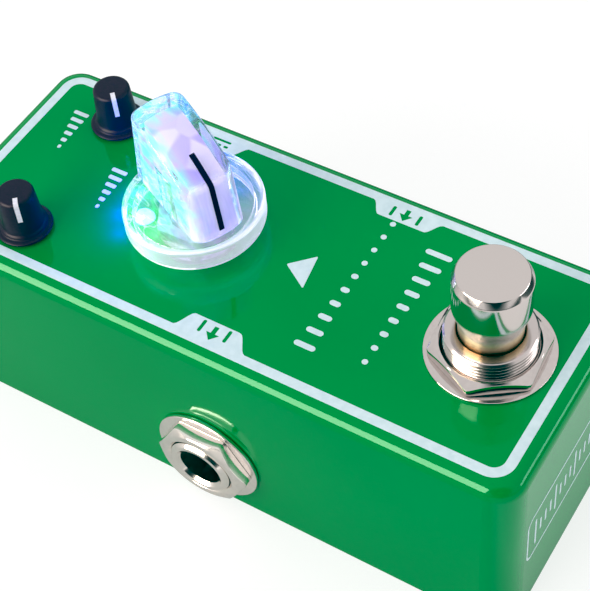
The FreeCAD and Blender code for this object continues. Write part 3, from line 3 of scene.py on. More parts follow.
import bmesh
import bpy
import numpy as np
from mathutils import Euler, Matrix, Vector


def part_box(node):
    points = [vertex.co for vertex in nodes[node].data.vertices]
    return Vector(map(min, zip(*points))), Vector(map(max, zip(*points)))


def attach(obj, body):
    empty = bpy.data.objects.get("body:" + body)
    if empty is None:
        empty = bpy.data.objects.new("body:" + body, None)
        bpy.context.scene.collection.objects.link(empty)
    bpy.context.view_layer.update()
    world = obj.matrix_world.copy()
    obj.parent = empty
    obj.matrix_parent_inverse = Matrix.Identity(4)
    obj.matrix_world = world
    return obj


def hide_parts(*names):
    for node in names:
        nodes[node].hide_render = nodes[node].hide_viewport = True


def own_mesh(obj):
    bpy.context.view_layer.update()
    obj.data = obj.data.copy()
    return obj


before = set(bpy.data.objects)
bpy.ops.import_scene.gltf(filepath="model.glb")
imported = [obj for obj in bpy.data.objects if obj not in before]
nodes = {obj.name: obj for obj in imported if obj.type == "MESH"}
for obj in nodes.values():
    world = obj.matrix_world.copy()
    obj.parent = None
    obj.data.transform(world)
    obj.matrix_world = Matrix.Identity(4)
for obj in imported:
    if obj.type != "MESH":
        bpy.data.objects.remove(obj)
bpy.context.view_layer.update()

# Delay pedal. Lengths are in millimetres until a mesh is written; X runs across the box, +Y points to the
# knob end and Z is up, as in the CAD frame.
MM = 0.001

# ---- Picture: camera, floor and lamps
# A product picture from above one corner of the stomp end, with a long lens. The pedal stands on a white
# sweep, and two soft boxes and a low front lamp light it.
CAMERA_PLACE = (-105.84, -83.65, 190.35)
CAMERA_TURN = (38.576, 4.379, -58.595)
CAMERA_LENS = 95.2
CAMERA_SENSOR = 36.0
RED_TAKEN_OUT = 0.037


def stand(name, data):
    """An object in the scene that shows a camera, lamp, curve or mesh."""
    made = bpy.data.objects.new(name, data)
    bpy.context.scene.collection.objects.link(made)
    return made


lens = bpy.data.cameras.new("camera")
lens.lens = CAMERA_LENS
lens.sensor_width = CAMERA_SENSOR
lens.clip_start = 0.01
camera = stand("camera", lens)
camera.location = [value * MM for value in CAMERA_PLACE]
camera.rotation_euler = Euler([math.radians(value) for value in CAMERA_TURN])
bpy.context.scene.camera = camera
view = bpy.context.scene.view_settings
view.view_transform = "Standard"
# The photograph's greens hold no red at all: a little red is taken out of the darks
view.use_curve_mapping = True
view.curve_mapping.black_level = (RED_TAKEN_OUT, 0, 0)
view.curve_mapping.update()


def linear(code):
    """An sRGB hex colour as linear red, green, blue and alpha."""
    parts = np.array([int(code[k:k + 2], 16) for k in (1, 3, 5)]) / 255
    parts = np.where(parts <= 0.04045, parts / 12.92, ((parts + 0.055) / 1.055) ** 2.4)
    return (*parts, 1.0)


def node(tree, kind, inputs=None, stops=(), **settings):
    """Add a shader node with its settings; stops are a colour ramp's (place, hex colour) pairs. A socket
    among the inputs is linked, and so is a node, by its first output; other values are set on the socket."""
    made = tree.nodes.new("ShaderNode" + kind)
    for name, value in settings.items():
        setattr(made, name, value)
    for name, value in (inputs or {}).items():
        if isinstance(value, bpy.types.Node):
            value = value.outputs[0]
        if isinstance(value, bpy.types.NodeSocket):
            tree.links.new(value, made.inputs[name])
        else:
            made.inputs[name].default_value = value
    if stops:
        band = made.color_ramp.elements
        while len(band) < len(stops):
            band.new(0.5)
        for stop, (place, code) in zip(band, stops):
            stop.position = place
            stop.color = linear(code)
    return made


def new_finish(name):
    """An empty material and its node tree."""
    material = bpy.data.materials.new(name)
    material.use_nodes = True
    material.node_tree.nodes.clear()
    return material, material.node_tree


def grid_mesh(name, points, wrap=(False, True)):
    """Mesh from a grid of points in mm: each point joins the next in its row and the same one in the next
    row; wrap closes the rows' order and the columns' order."""
    rows, columns = points.shape[:2]
    index = np.arange(rows * columns).reshape(rows, columns)
    if wrap[0]:
        index = np.vstack([index, index[:1]])
    if wrap[1]:
        index = np.hstack([index, index[:, :1]])
    quads = np.stack([index[:-1, :-1], index[:-1, 1:], index[1:, 1:], index[1:, :-1]], axis=-1).reshape(-1, 4)
    mesh = bpy.data.meshes.new(name)
    mesh.from_pydata((points.reshape(-1, 3) * MM).tolist(), [], quads.tolist())
    return mesh


def finish_mesh(mesh, crease=35.0):
    """Merge doubled points, point the faces outwards and smooth all but the sharp edges."""
    work = bmesh.new()
    work.from_mesh(mesh)
    bmesh.ops.remove_doubles(work, verts=work.verts, dist=2e-7)
    bmesh.ops.dissolve_degenerate(work, edges=work.edges, dist=1e-8)
    bmesh.ops.recalc_face_normals(work, faces=work.faces)
    work.to_mesh(mesh)
    work.free()
    mesh.shade_smooth()
    mesh.set_sharp_from_angle(angle=math.radians(crease))
    return mesh


def add_piece(name, mesh, material, body, replaced=()):
    """An object at the origin that rides on a body and may stand for CAD nodes."""
    mesh.materials.clear()
    mesh.materials.append(material)
    piece = stand(name, mesh)
    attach(piece, body)
    if replaced:
        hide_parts(*replaced)
    return piece


FLOOR_REACH = 1600.0
FLOOR_COLOUR = "#9A9A9A"
CARD_COLOUR = "#080808"
FLOOR_WHITE = 0.72
FLOOR_MIRRORED = 0.22
END_CARD_EXTRA = 0.35
# Where each card starts and is full: along X, along the way to the photographer, and along Y
CARD_RIGHT = (80.0, 95.0)
CARD_NEAR = (240.0, 300.0)
CARD_END = (-44.0, -54.0)
PHOTOGRAPHER_WAY = (-0.8, -0.6, 0)
paper, tree = new_finish("white_paper_sweep")
# Matt white paper, exposed to pure white. What the pedal's gloss mirrors of it is darker, but for a white card
# before the stomp end, and black cards lie to the right and at the photographer's feet, which gives the plated
# parts their dark edges
direct = node(tree, "LightPath").outputs["Is Camera Ray"]
place = node(tree, "NewGeometry").outputs["Position"]
spot = node(tree, "SeparateXYZ", {"Vector": place})
right_card = node(tree, "MapRange", {"Value": spot.outputs["X"], "From Min": CARD_RIGHT[0] * MM,
                                     "From Max": CARD_RIGHT[1] * MM})
to_feet = node(tree, "VectorMath", {0: place, 1: PHOTOGRAPHER_WAY}, operation="DOT_PRODUCT")
near_card = node(tree, "MapRange", {"Value": to_feet.outputs["Value"], "From Min": CARD_NEAR[0] * MM,
                                    "From Max": CARD_NEAR[1] * MM})
cards = node(tree, "Math", {0: right_card, 1: near_card}, operation="MAXIMUM")
mirrored = node(tree, "Math", {0: 1.0, 1: direct}, operation="SUBTRACT")
dark = node(tree, "Math", {0: cards, 1: mirrored}, operation="MULTIPLY")
tone = node(tree, "ValToRGB", {"Fac": dark}, ((0.0, FLOOR_COLOUR), (1.0, CARD_COLOUR)))
end_card = node(tree, "MapRange", {"Value": spot.outputs["Y"], "From Min": CARD_END[0] * MM,
                                   "From Max": CARD_END[1] * MM, "To Min": FLOOR_MIRRORED,
                                   "To Max": FLOOR_MIRRORED + END_CARD_EXTRA})
glow = node(tree, "MapRange", {"Value": direct, "To Min": end_card, "To Max": FLOOR_WHITE})
uncovered = node(tree, "Math", {0: 1.0, 1: dark}, operation="SUBTRACT")
power = node(tree, "Math", {0: glow, 1: uncovered}, operation="MULTIPLY")
node(tree, "OutputMaterial", {"Surface": node(tree, "BsdfPrincipled", {
    "Base Color": tone, "Roughness": 0.9, "Emission Color": linear("#FFFFFF"), "Emission Strength": power})})
reach = np.array([-FLOOR_REACH, FLOOR_REACH])
corner_x, corner_y = np.meshgrid(reach, reach)
floor_mesh = grid_mesh("floor", np.stack([corner_x, corner_y, corner_x * 0], axis=-1), wrap=(False, False))
floor_mesh.materials.append(paper)
stand("floor", floor_mesh)

# Each lamp: name, place, point it faces, width, height, power in watts, colour, whether it is only mirrored or
# only lights: the left soft box's face is wide in the gloss, and little of its light reaches the walls
LAMPS = (
    ("left_box_face", (-410, 188, 205), (0, 0, 16), 430, 290, 4.4, "#FFF6DC", "mirrored"),
    ("left_box", (-390, 188, 266), (0, 0, 16), 420, 110, 1.25, "#FFFFFF", "lights"),
    ("front_strip", (200, -420, 120), (0, -30, 16), 300, 90, 0.35, "#FFFFFF", "both"),
)


def add_lamp(name, kind, place, power, colour):
    """A lamp at a place in mm with its power in watts and its colour."""
    lamp = stand(name, bpy.data.lights.new(name, kind))
    lamp.location = Vector(place) * MM
    lamp.data.energy = power
    lamp.data.color = linear(colour)[:3]
    return lamp


for name, place, aim, width, height, power, colour, part in LAMPS:
    lamp = add_lamp(name, "AREA", place, power, colour)
    lamp.data.shape = "RECTANGLE"
    lamp.data.size = width * MM
    lamp.data.size_y = height * MM
    lamp.rotation_euler = (Vector(place) - Vector(aim)).to_track_quat("Z", "Y").to_euler()
    lamp.visible_diffuse = part != "mirrored"
    lamp.visible_glossy = part != "lights"

ROOM_TONES = ((0.0, "#F4F4F4"), (0.45, "#F6F6F6"), (0.8, "#FAFAFA"))
ROOM_LIGHT = 0.9
DARK_SIDE_LIGHT = 0.03
DARK_SIDE_WAY = (-0.72, -0.54, 0.44)
world = bpy.data.worlds.new("studio")
bpy.context.scene.world = world
world.use_nodes = True
tree = world.node_tree
tree.nodes.clear()
around = node(tree, "TexCoord").outputs["Generated"]
height_band = node(tree, "ValToRGB", {"Fac": node(tree, "SeparateXYZ", {"Vector": around}).outputs["Z"]}, ROOM_TONES)
# The camera's side of the room is dark, so plated parts get black edges
toward = node(tree, "VectorMath", {0: around, 1: DARK_SIDE_WAY}, operation="DOT_PRODUCT")
shadow_side = node(tree, "MapRange", {"Value": toward.outputs["Value"], "From Min": 0.80, "From Max": 0.92,
                                      "To Min": ROOM_LIGHT, "To Max": DARK_SIDE_LIGHT})
strength = node(tree, "Math", {0: shadow_side, 1: node(tree, "LightPath")}, operation="MAXIMUM")
node(tree, "OutputWorld", {"Surface": node(tree, "Background", {"Color": height_band, "Strength": strength})})

# ---- Housing
# The real box is one zinc or aluminium die casting, sprayed in a gloss green enamel and baked. The CAD
# node has its shape, so it stays and only gets the finish.
ENAMEL_GREEN = "#009037"
ENAMEL_DEPTH = "#008C32"
ORANGE_PEEL = 1.4
SPRAY_CLOUD = 22.2
enamel, tree = new_finish("gloss_green_enamel")
# Sprayed gloss enamel: an even saturated green under a hard clear gloss, with a trace of orange peel. What the
# walls mirror takes on more of the green than what the rounded edges mirror
own = node(tree, "TexCoord").outputs["Object"]
cloud = node(tree, "TexNoise", {"Vector": own, "Scale": 1 / (SPRAY_CLOUD * MM)})
tint = node(tree, "ValToRGB", {"Fac": cloud}, ((0.3, ENAMEL_DEPTH), (0.7, ENAMEL_GREEN)))
peel = node(tree, "TexNoise", {"Vector": own, "Scale": 1 / (ORANGE_PEEL * MM), "Detail": 1.0})
facing = node(tree, "SeparateXYZ", {"Vector": node(tree, "NewGeometry").outputs["Normal"]})
rounding = node(tree, "MapRange", {"Value": facing.outputs["Z"], "From Min": 0.02, "From Max": 0.15})
node(tree, "OutputMaterial", {"Surface": node(tree, "BsdfPrincipled", {
    "Base Color": tint, "Roughness": 0.07, "Specular IOR Level": 0.5,
    "Specular Tint": node(tree, "ValToRGB", {"Fac": rounding}, ((0.0, "#30FFDC"), (1.0, "#BCFFE6"))),
    "Normal": node(tree, "Bump", {"Height": peel, "Strength": 0.02, "Distance": 0.1 * MM})})})


def dress(material, *names):
    """Give CAD nodes a material in place of their plain one."""
    for name in names:
        slots = nodes[name].data.materials
        slots.clear()
        slots.append(material)


dress(enamel, "housing_shell")


def edge(name, side, axis):
    """One face of a CAD node's box in mm: side 0 is the low one and 1 the high one."""
    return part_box(name)[side][axis] / MM


def middle(name, axis):
    """The middle of a CAD node's box along an axis in mm."""
    return (edge(name, 0, axis) + edge(name, 1, axis)) / 2


TOP = edge("housing_shell", 1, 2)

# ---- Printed border, tabs and marks
# Screen-printed epoxy ink, a few hundredths of a millimetre thick, on the baked enamel. The border swells
# into a tab beside each socket. The signs in the tabs are bare enamel left free by the print.
INK = 0.025
DRAFT = math.tan(math.radians(0.5))
EDGE_RADIUS = 2.3
FOOT_HALF = (18.9, 46.3)
FOOT_CORNER = 4.3
BORDER_HALF = (16.74, 43.97)
BORDER_CORNER = 3.0
BORDER_WIDTH = 1.38
STRIP_WIDTH = 0.5
RIM_SUNK = 0.01
flat_half = np.array(FOOT_HALF) - TOP * DRAFT - EDGE_RADIUS
flat_corner = FOOT_CORNER - TOP * DRAFT - EDGE_RADIUS


def mottled(name, size, tones, shine, bump=None, kind="TexNoise", by="Fac", paint="Base Color", **texture):
    """A finish whose colour wanders between tones with a texture of a given grain in mm, which is its relief
    too: bump is that relief's strength and depth in mm."""
    material, tree = new_finish(name)
    own = node(tree, "TexCoord").outputs["Object"]
    grain = node(tree, kind, {"Vector": own, "Scale": 1 / (size * MM), **texture}).outputs[by]
    shine = {paint: node(tree, "ValToRGB", {"Fac": grain}, tones), **shine}
    if bump:
        shine["Normal"] = node(tree, "Bump", {"Height": grain, "Strength": bump[0], "Distance": bump[1] * MM})
    node(tree, "OutputMaterial", {"Surface": node(tree, "BsdfPrincipled", shine)})
    return material


# Epoxy screen ink: a cool white film, satin and very slightly uneven, that hides the green under it
ink = mottled("screen_printed_ink", 1.11, ((0.35, "#CFE4EA"), (0.65, "#D9ECF2")),
              {"Roughness": 0.38, "Specular IOR Level": 0.3}, bump=(0.05, 0.1), Detail=3.0)


def rounded_rectangle(half, radius, steps=14):
    """Closed outline of a rectangle whose corners are quarter circles, from +X round to the left."""
    turns = np.linspace(0, math.pi / 2, steps)
    loops = []
    for quarter, way in enumerate(((1, 1), (-1, 1), (-1, -1), (1, -1))):
        angle = turns + quarter * math.pi / 2
        corner = np.array(way) * (np.array(half) - radius)
        loops.append(np.stack([np.cos(angle), np.sin(angle)], axis=-1) * radius + corner)
    return np.vstack(loops)


def fall(flat):
    """How far the housing's top has dropped at a point: a quarter-circle edge outside the flat's outline."""
    corner = np.maximum(np.abs(flat) - (flat_half - flat_corner), 0)
    beyond = np.maximum(np.hypot(corner[..., 0], corner[..., 1]) - flat_corner, 0)
    return EDGE_RADIUS - np.sqrt(EDGE_RADIUS ** 2 - np.minimum(beyond, EDGE_RADIUS) ** 2)


def smooth(start, end, values):
    """A smooth step from 0 at start to 1 at end."""
    t = np.clip((values - start) / (end - start), 0, 1)
    return t * t * (3 - 2 * t)


def move_points(mesh, change):
    """Put all points of a mesh where a function of their coordinates in metres says."""
    spots = np.empty(len(mesh.vertices) * 3)
    mesh.vertices.foreach_get("co", spots)
    mesh.vertices.foreach_set("co", change(spots.reshape(-1, 3)).ravel())
    mesh.update()
    return mesh


def printed(name, loops, level=TOP):
    """Flat print with holes: closed outlines in a 2D curve, filled and given the ink's thickness."""
    curve = bpy.data.curves.new(name, "CURVE")
    curve.dimensions = "2D"
    curve.fill_mode = "BOTH"
    curve.extrude = INK / 2 * MM
    for loop in loops:
        spline = curve.splines.new("POLY")
        spline.points.add(len(loop) - 1)
        flat = np.hstack([np.asarray(loop) * MM, np.zeros((len(loop), 1)), np.ones((len(loop), 1))])
        spline.points.foreach_set("co", flat.ravel())
        spline.use_cyclic_u = True
    holder = stand(name, curve)
    bpy.context.view_layer.update()
    mesh = bpy.data.meshes.new_from_object(holder)
    bpy.data.objects.remove(holder)
    return finish_mesh(move_points(mesh, lambda spots: spots + np.array([0, 0, (level + INK / 2) * MM])))


def joined(name, meshes):
    """Several meshes as one."""
    work = bmesh.new()
    for mesh in meshes:
        work.from_mesh(mesh)
    whole = bpy.data.meshes.new(name)
    work.to_mesh(whole)
    work.free()
    return whole


# Tabs: side of the border (-1 or 1), where the tab starts and is full on its way to -Y, and its depth
TABS = (
    (-1, (4.3, 2.6), (-4.3, -6.7), 2.75),
    (1, (-8.1, -9.9), (-16.9, -18.7), 2.15),
    (1, (20.6, 18.9), (13.9, 12.1), 2.15),
)
SIDE_STEPS = 240
inner_half = np.array(BORDER_HALF) - BORDER_WIDTH
inner_corner = BORDER_CORNER - BORDER_WIDTH
inner = rounded_rectangle(inner_half, inner_corner)
per_corner = len(inner) // 4
run = np.linspace(1, -1, SIDE_STEPS) * (inner_half[1] - inner_corner)


def inner_side(side):
    """One long side of the border's inner edge: the tab's depth rises and falls by smooth steps."""
    depth = np.zeros_like(run)
    for tab_side, start, end, reach in TABS:
        if tab_side == side:
            depth += reach * smooth(start[0], start[1], run) * (1 - smooth(end[0], end[1], run))
    line = np.stack([side * (inner_half[0] - depth), run], axis=-1)
    return line if side < 0 else line[::-1]


inner_edge = np.vstack([inner[:2 * per_corner], inner_side(-1)[1:-1], inner[2 * per_corner:], inner_side(1)[1:-1]])


def arrow(x, y, length=2.3, head=1.15, half_head=1.0, half_shaft=0.33):
    """Arrow towards -X: a shaft and a triangular head."""
    tip, neck = -length / 2, head - length / 2
    return np.array([(-tip, -half_shaft), (neck, -half_shaft), (neck, -half_head), (tip, 0), (neck, half_head),
                     (neck, half_shaft), (-tip, half_shaft)]) + np.array([x, y])


def bar(x, y, half_x, half_y, radius):
    """Short bar with rounded corners."""
    return rounded_rectangle((half_x, half_y), radius, 5) + np.array([x, y])


# A signal socket's sign is an arrow between two strokes, the power inlet's a line beside a dashed one
signs = [arrow(-14.35, -1.2), bar(-13.9, 0.75, 1.0, 0.25, 0.2), bar(-13.9, -3.15, 1.0, 0.25, 0.2),
         arrow(14.65, -13.4, length=2.1), bar(14.65, -11.4, 0.9, 0.25, 0.2), bar(14.65, -15.4, 0.9, 0.25, 0.2),
         bar(15.1, 16.5, 0.2, 1.5, 0.15)]
signs += [bar(14.2, 16.5 + step, 0.2, 0.36, 0.15) for step in (-1.15, 0, 1.15)]
tops = np.stack([rounded_rectangle(np.array(BORDER_HALF) - inset, BORDER_CORNER - inset)
                 for inset in np.linspace(0, STRIP_WIDTH, 7)])
raised = np.concatenate([tops, (TOP + INK - fall(tops))[..., None]], axis=-1)
sunk = np.concatenate([tops, (TOP - RIM_SUNK - fall(tops))[..., None]], axis=-1)[::-1]
rim = finish_mesh(grid_mesh("border_rim", np.concatenate([raised, sunk]), wrap=(True, True)))
field = printed("border_field", [tops[-1], inner_edge] + signs)
add_piece("printed_border", joined("printed_border", [rim, field]), ink, "housing")


def rounded_profile(spots, radius, closed=True, steps=4):
    """An outline or profile whose corners are eased by quadratic curves of at most a given reach and never
    more than 0.45 of a neighbouring run."""
    spots = np.asarray(spots, float)
    back = np.roll(spots, 1, axis=0) - spots
    ahead = np.roll(spots, -1, axis=0) - spots
    back_run = np.linalg.norm(back, axis=1, keepdims=True)
    ahead_run = np.linalg.norm(ahead, axis=1, keepdims=True)
    ease = np.minimum(radius, 0.45 * np.minimum(back_run, ahead_run))
    if not closed:
        ease[0] = ease[-1] = 0
    t = np.linspace(0, 1, steps)[None, :, None]
    first = spots + back / back_run * ease
    last = spots + ahead / ahead_run * ease
    curve = first[:, None] * (1 - t) ** 2 + 2 * spots[:, None] * t * (1 - t) + last[:, None] * t ** 2
    return curve.reshape(-1, 2)


TRIANGLE = ((-0.03, -3.52), (3.05, -6.62), (-2.59, -7.56))
# Two rows of bars die away like echoes. Each: first bar's X, its half length, Y, count, pitch, decay
ECHO_ROWS = ((-10.4, 1.55, -12.6, 10, 2.55, 0.80), (10.6, 1.95, -20.6, 9, 2.45, 0.82))
ECHO_HALF = 0.42
# Each control has a ramp of growing bars: where it starts, the bars' number, pitch and half width, the first
# one's half height and the growth from one to the next
RAMPS = ((-3.4, 24.9), (-13.2, 36.6), (3.4, 36.6))
RAMP_BARS, RAMP_PITCH, RAMP_HALF, RAMP_FIRST, RAMP_GROWTH = 6, 1.35, 0.33, 0.25, 0.2
marks = [rounded_profile(TRIANGLE, 0.3, steps=6)]
for start, tallest, along, count, pitch, decay in ECHO_ROWS:
    way = 1 if start < 0 else -1
    for k in range(count):
        reach = max(tallest * decay ** k, ECHO_HALF)
        marks.append(bar(start + way * k * pitch, along, ECHO_HALF, reach, ECHO_HALF))
for x, y in RAMPS:
    for k in range(RAMP_BARS):
        half = RAMP_FIRST + RAMP_GROWTH * k
        marks.append(bar(x + RAMP_PITCH * k, y + half, RAMP_HALF, half, 0.2))
add_piece("printed_marks", printed("printed_marks", marks), ink, "housing")

# A plain ruled band on the stomp end's wall
BAND_HALF = (14.0, 4.85)
BAND_HEIGHT = 15.35
BAND_LINE = 0.35
BAND_CORNER = 1.5
TICK_PITCH = 1.45
TICK_HALF = 0.22
LONG_TICK, SHORT_TICK = 2.9, 1.3
band = [rounded_rectangle(BAND_HALF, BAND_CORNER),
        rounded_rectangle(np.array(BAND_HALF) - BAND_LINE, BAND_CORNER - BAND_LINE)]
band += [bar(TICK_PITCH * k, 0, TICK_HALF, SHORT_TICK if k % 4 else LONG_TICK, 0.2) for k in range(-8, 9)]


def on_end_wall(spots):
    """Stand flat points up on the stomp end's wall, which leans by its draft."""
    upright = spots[:, 1] + BAND_HEIGHT * MM
    wall = upright * DRAFT - edge("housing_shell", 1, 1) * MM
    return np.stack([spots[:, 0], wall - spots[:, 2], upright], axis=-1)


band_mesh = move_points(printed("printed_band", band, level=0.0), on_end_wall)
add_piece("printed_band", band_mesh, ink, "housing")

# ---- Stomp switch
# Turned brass, nickel plated: a threaded barrel, a push cap on a stem, a dress washer and a hexagon nut
# whose corners are cut back on the lathe. Plating is bright, with fine turning marks and warm reflections; the
# warm reflections low on the stem are painted into its colour.
PLATE_SPECK = 0.714
nickel, tree = new_finish("bright_nickel_plate")
# Bright nickel on turned brass: a warm grey mirror with a faint mottle and tiny handling marks
own = node(tree, "TexCoord").outputs["Object"]
specks = node(tree, "TexNoise", {"Vector": own, "Scale": 1 / (PLATE_SPECK * MM), "Detail": 4.0})
wear = node(tree, "MapRange", {"Value": specks, "From Min": 0.35, "From Max": 0.75, "To Min": 0.05, "To Max": 0.11})
node(tree, "OutputMaterial", {"Surface": node(tree, "BsdfPrincipled", {
    "Base Color": node(tree, "ValToRGB", {"Fac": specks}, ((0.3, "#D3C7C4"), (0.7, "#D9CECA"))),
    "Metallic": 1.0, "Roughness": wear,
    "Normal": node(tree, "Bump", {"Height": specks, "Strength": 0.015, "Distance": 0.05 * MM})})})


def circled(reach, height, steps, turn=0.0):
    """Grid round a vertical axis: each reach goes round in equal steps, from a turn on, at its height."""
    angles = np.arange(steps) * 2 * math.pi / steps + turn
    return np.stack(np.broadcast_arrays(reach * np.cos(angles), reach * np.sin(angles), height), axis=-1)


def rings(profile, steps=120):
    """Grid of plain circles from (radius, height) points."""
    radius, height = np.asarray(profile, float).T[..., None]
    return circled(radius, height, steps)


def turned(name, profile, place, closed=True, steps=96, crease=35.0):
    """Surface of revolution: each (radius, height) of the profile goes once round a vertical axis."""
    points = rings(profile, steps) + np.asarray(place, float)
    return finish_mesh(grid_mesh(name, points, wrap=(closed, True)), crease)


switch_y = middle("footswitch_nut", 1)
panel = (0.0, switch_y, TOP)
BARREL = 6.0
BARREL_TOP = 4.65
THREAD_LOW = -7.3
THREAD_HIGH = BARREL_TOP - 0.35
THREAD_PITCH = 0.6
THREAD_DEPTH = 0.26
THREAD_STEPS = 120
# The barrel's (radius, height above the panel) from the thread's top over the flat mouth and down the bore,
# then round the foot that is riveted into the frame
MOUTH = ((5.94, 4.35), (5.74, 4.59), (5.66, 4.65), (5.45, 4.65), (4.46, 4.65), (4.38, 4.62), (4.3, 4.53),
         (4.22, 4.35), (4.22, -8.35), (5.3, -8.35), (5.3, -7.35), (6.0, -7.35))


def threaded(radius, low, high, pitch, depth, per_turn=10):
    """Grid of a screw thread: the radius falls by a triangle wave of height plus turn, and the wave fades
    out at both ends."""
    turns = np.arange(THREAD_STEPS) / THREAD_STEPS
    heights = np.linspace(low, high, int((high - low) / pitch * per_turn))[:, None]
    wave = np.abs(2 * ((heights / pitch - turns) % 1.0) - 1)
    fade = smooth(low, low + pitch / 2, heights) * (1 - smooth(high - pitch / 3, high, heights))
    return circled(radius - depth * np.clip(wave * 1.3 - 0.15, 0, 1) * fade, heights, THREAD_STEPS)


thread_nickel, tree = new_finish("threaded_nickel_barrel")
# Nickel on a cut thread: bright crests, and roots painted dark as painted shade, which draws the thread as fine
# lines
own = node(tree, "TexCoord").outputs["Object"]
split = node(tree, "SeparateXYZ", {"Vector": node(tree, "VectorMath", {0: own, 1: (0, -switch_y * MM, 0)},
                                                  operation="ADD")})
across = node(tree, "CombineXYZ", {"X": split.outputs["X"], "Y": split.outputs["Y"]})
reach = node(tree, "VectorMath", {0: across}, operation="LENGTH").outputs["Value"]
# Painted shade: the thread's roots are painted dark, and the crests and the flat mouth keep the plating's tone
crest = node(tree, "MapRange", {"Value": reach, "From Min": (BARREL - 0.22) * MM, "From Max": (BARREL - 0.05) * MM})
flat_mouth = node(tree, "MapRange", {"Value": split.outputs["Z"], "From Min": (TOP + BARREL_TOP - 0.4) * MM,
                                     "From Max": (TOP + BARREL_TOP - 0.3) * MM})
unshaded = node(tree, "Math", {0: crest, 1: flat_mouth}, operation="MAXIMUM")
tone = node(tree, "ValToRGB", {"Fac": unshaded}, ((0.0, "#5A4A44"), (0.6, "#B9ACA7"), (1.0, "#D3C7C4")))
node(tree, "OutputMaterial", {"Surface": node(tree, "BsdfPrincipled", {
    "Base Color": tone, "Metallic": 1.0, "Roughness": 0.17})})
thread = threaded(BARREL, THREAD_LOW, THREAD_HIGH, THREAD_PITCH, THREAD_DEPTH)
barrel = np.concatenate([thread, rings(MOUTH, THREAD_STEPS)]) + np.array(panel)
mesh = finish_mesh(grid_mesh("footswitch_barrel", barrel, wrap=(True, True)), 50)
add_piece("footswitch_barrel", mesh, thread_nickel, "housing", ["footswitch_bushing"])

# Heights above the panel: where the painted warm reflection ends and where the rings fade out
WARM_TONE = (4.8, 7.0)
RINGS_FADE = (9.1, 9.9)
LATHE_RING = 0.111
RING_RUN = 3.33
cap_nickel, tree = new_finish("turned_nickel_cap")
# Nickel over lathe rings: the rings run round the axis, so a reflection is drawn out along the axis. The head is
# polished, and low on the stem a warm reflection is painted into the colour, gold up the stem and dark brown at its
# foot
own = node(tree, "TexCoord").outputs["Object"]
height = node(tree, "SeparateXYZ", {"Vector": own}).outputs["Z"]
share = node(tree, "MapRange", {"Value": height, "From Min": (TOP + WARM_TONE[0]) * MM,
                                "From Max": (TOP + WARM_TONE[1]) * MM})
# Painted reflection: the stem's colour runs from dark brown at its foot through gold to the plating's grey
painted_warm_reflection = node(tree, "ValToRGB", {"Fac": share}, ((0.0, "#8C6A48"), (0.55, "#DCC9A6"), (1.0, "#DACFCB")))
ring_way = node(tree, "Mapping", {"Vector": own, "Scale": (1 / (RING_RUN * MM), 1 / (RING_RUN * MM),
                                                          1 / (LATHE_RING * MM))})
lathe = node(tree, "TexNoise", {"Vector": ring_way, "Scale": 1.0})
wear = node(tree, "MapRange", {"Value": lathe, "From Min": 0.3, "From Max": 0.7, "To Min": 0.25, "To Max": 0.27})
ringed = node(tree, "MapRange", {"Value": height, "From Min": (TOP + RINGS_FADE[0]) * MM,
                                 "From Max": (TOP + RINGS_FADE[1]) * MM, "To Min": 1.0, "To Max": 0.0})
rough = node(tree, "MapRange", {"Value": ringed, "To Min": 0.1, "To Max": wear})
node(tree, "OutputMaterial", {"Surface": node(tree, "BsdfPrincipled", {
    "Base Color": painted_warm_reflection, "Metallic": 1.0, "Roughness": rough, "Anisotropic": ringed, "Anisotropic Rotation": 0.25,
    "Tangent": node(tree, "Tangent", direction_type="RADIAL", axis="Z")})})
CAP_RADIUS = 5.0
STEM_RADIUS = 4.15
SWELL_TOP = 9.6
SWELL_HEIGHT = 3.2
# (radius, height above the panel) over the cap's top edge, and from the stem over its flange to its pin
CAP_HEAD = ((0, 15.2), (4.42, 15.2), (4.52, 15.1), (4.95, 14.27), (5.0, 14.12))
STEM_FOOT = ((4.15, -8.65), (4.7, -8.65), (4.7, -9.65), (2.0, -9.65), (2.0, -14.0), (0, -14.0))
swell = np.linspace(0, 1, 13)
narrowing = np.stack([STEM_RADIUS + (CAP_RADIUS - STEM_RADIUS) * (0.5 + 0.5 * np.cos(math.pi * swell)),
                      SWELL_TOP - SWELL_HEIGHT * swell], axis=-1)
cap = rounded_profile([*CAP_HEAD, *narrowing, *STEM_FOOT], 0.06, closed=False)
mesh = turned("stomp_cap", cap, panel, closed=False, steps=128, crease=28)
add_piece("stomp_cap", mesh, cap_nickel, "footswitch_cap", ["footswitch_plunger"])


def washer(name, outer, hole, thickness, place):
    """Flat ring with eased edges."""
    profile = [(hole, 0), (outer, 0), (outer, thickness), (hole, thickness)]
    return turned(name, rounded_profile(profile, 0.12), place)


SWITCH_HOLE = 6.08
SWITCH_WASHER = 0.4
mesh = washer("stomp_washer", 8.45, SWITCH_HOLE, SWITCH_WASHER, panel)
add_piece("stomp_washer", mesh, nickel, "housing", ["footswitch_washer"])

NUT_SIDE_STEPS = 20
NUT_FACE = 0.96
NUT_CUT = math.radians(30)


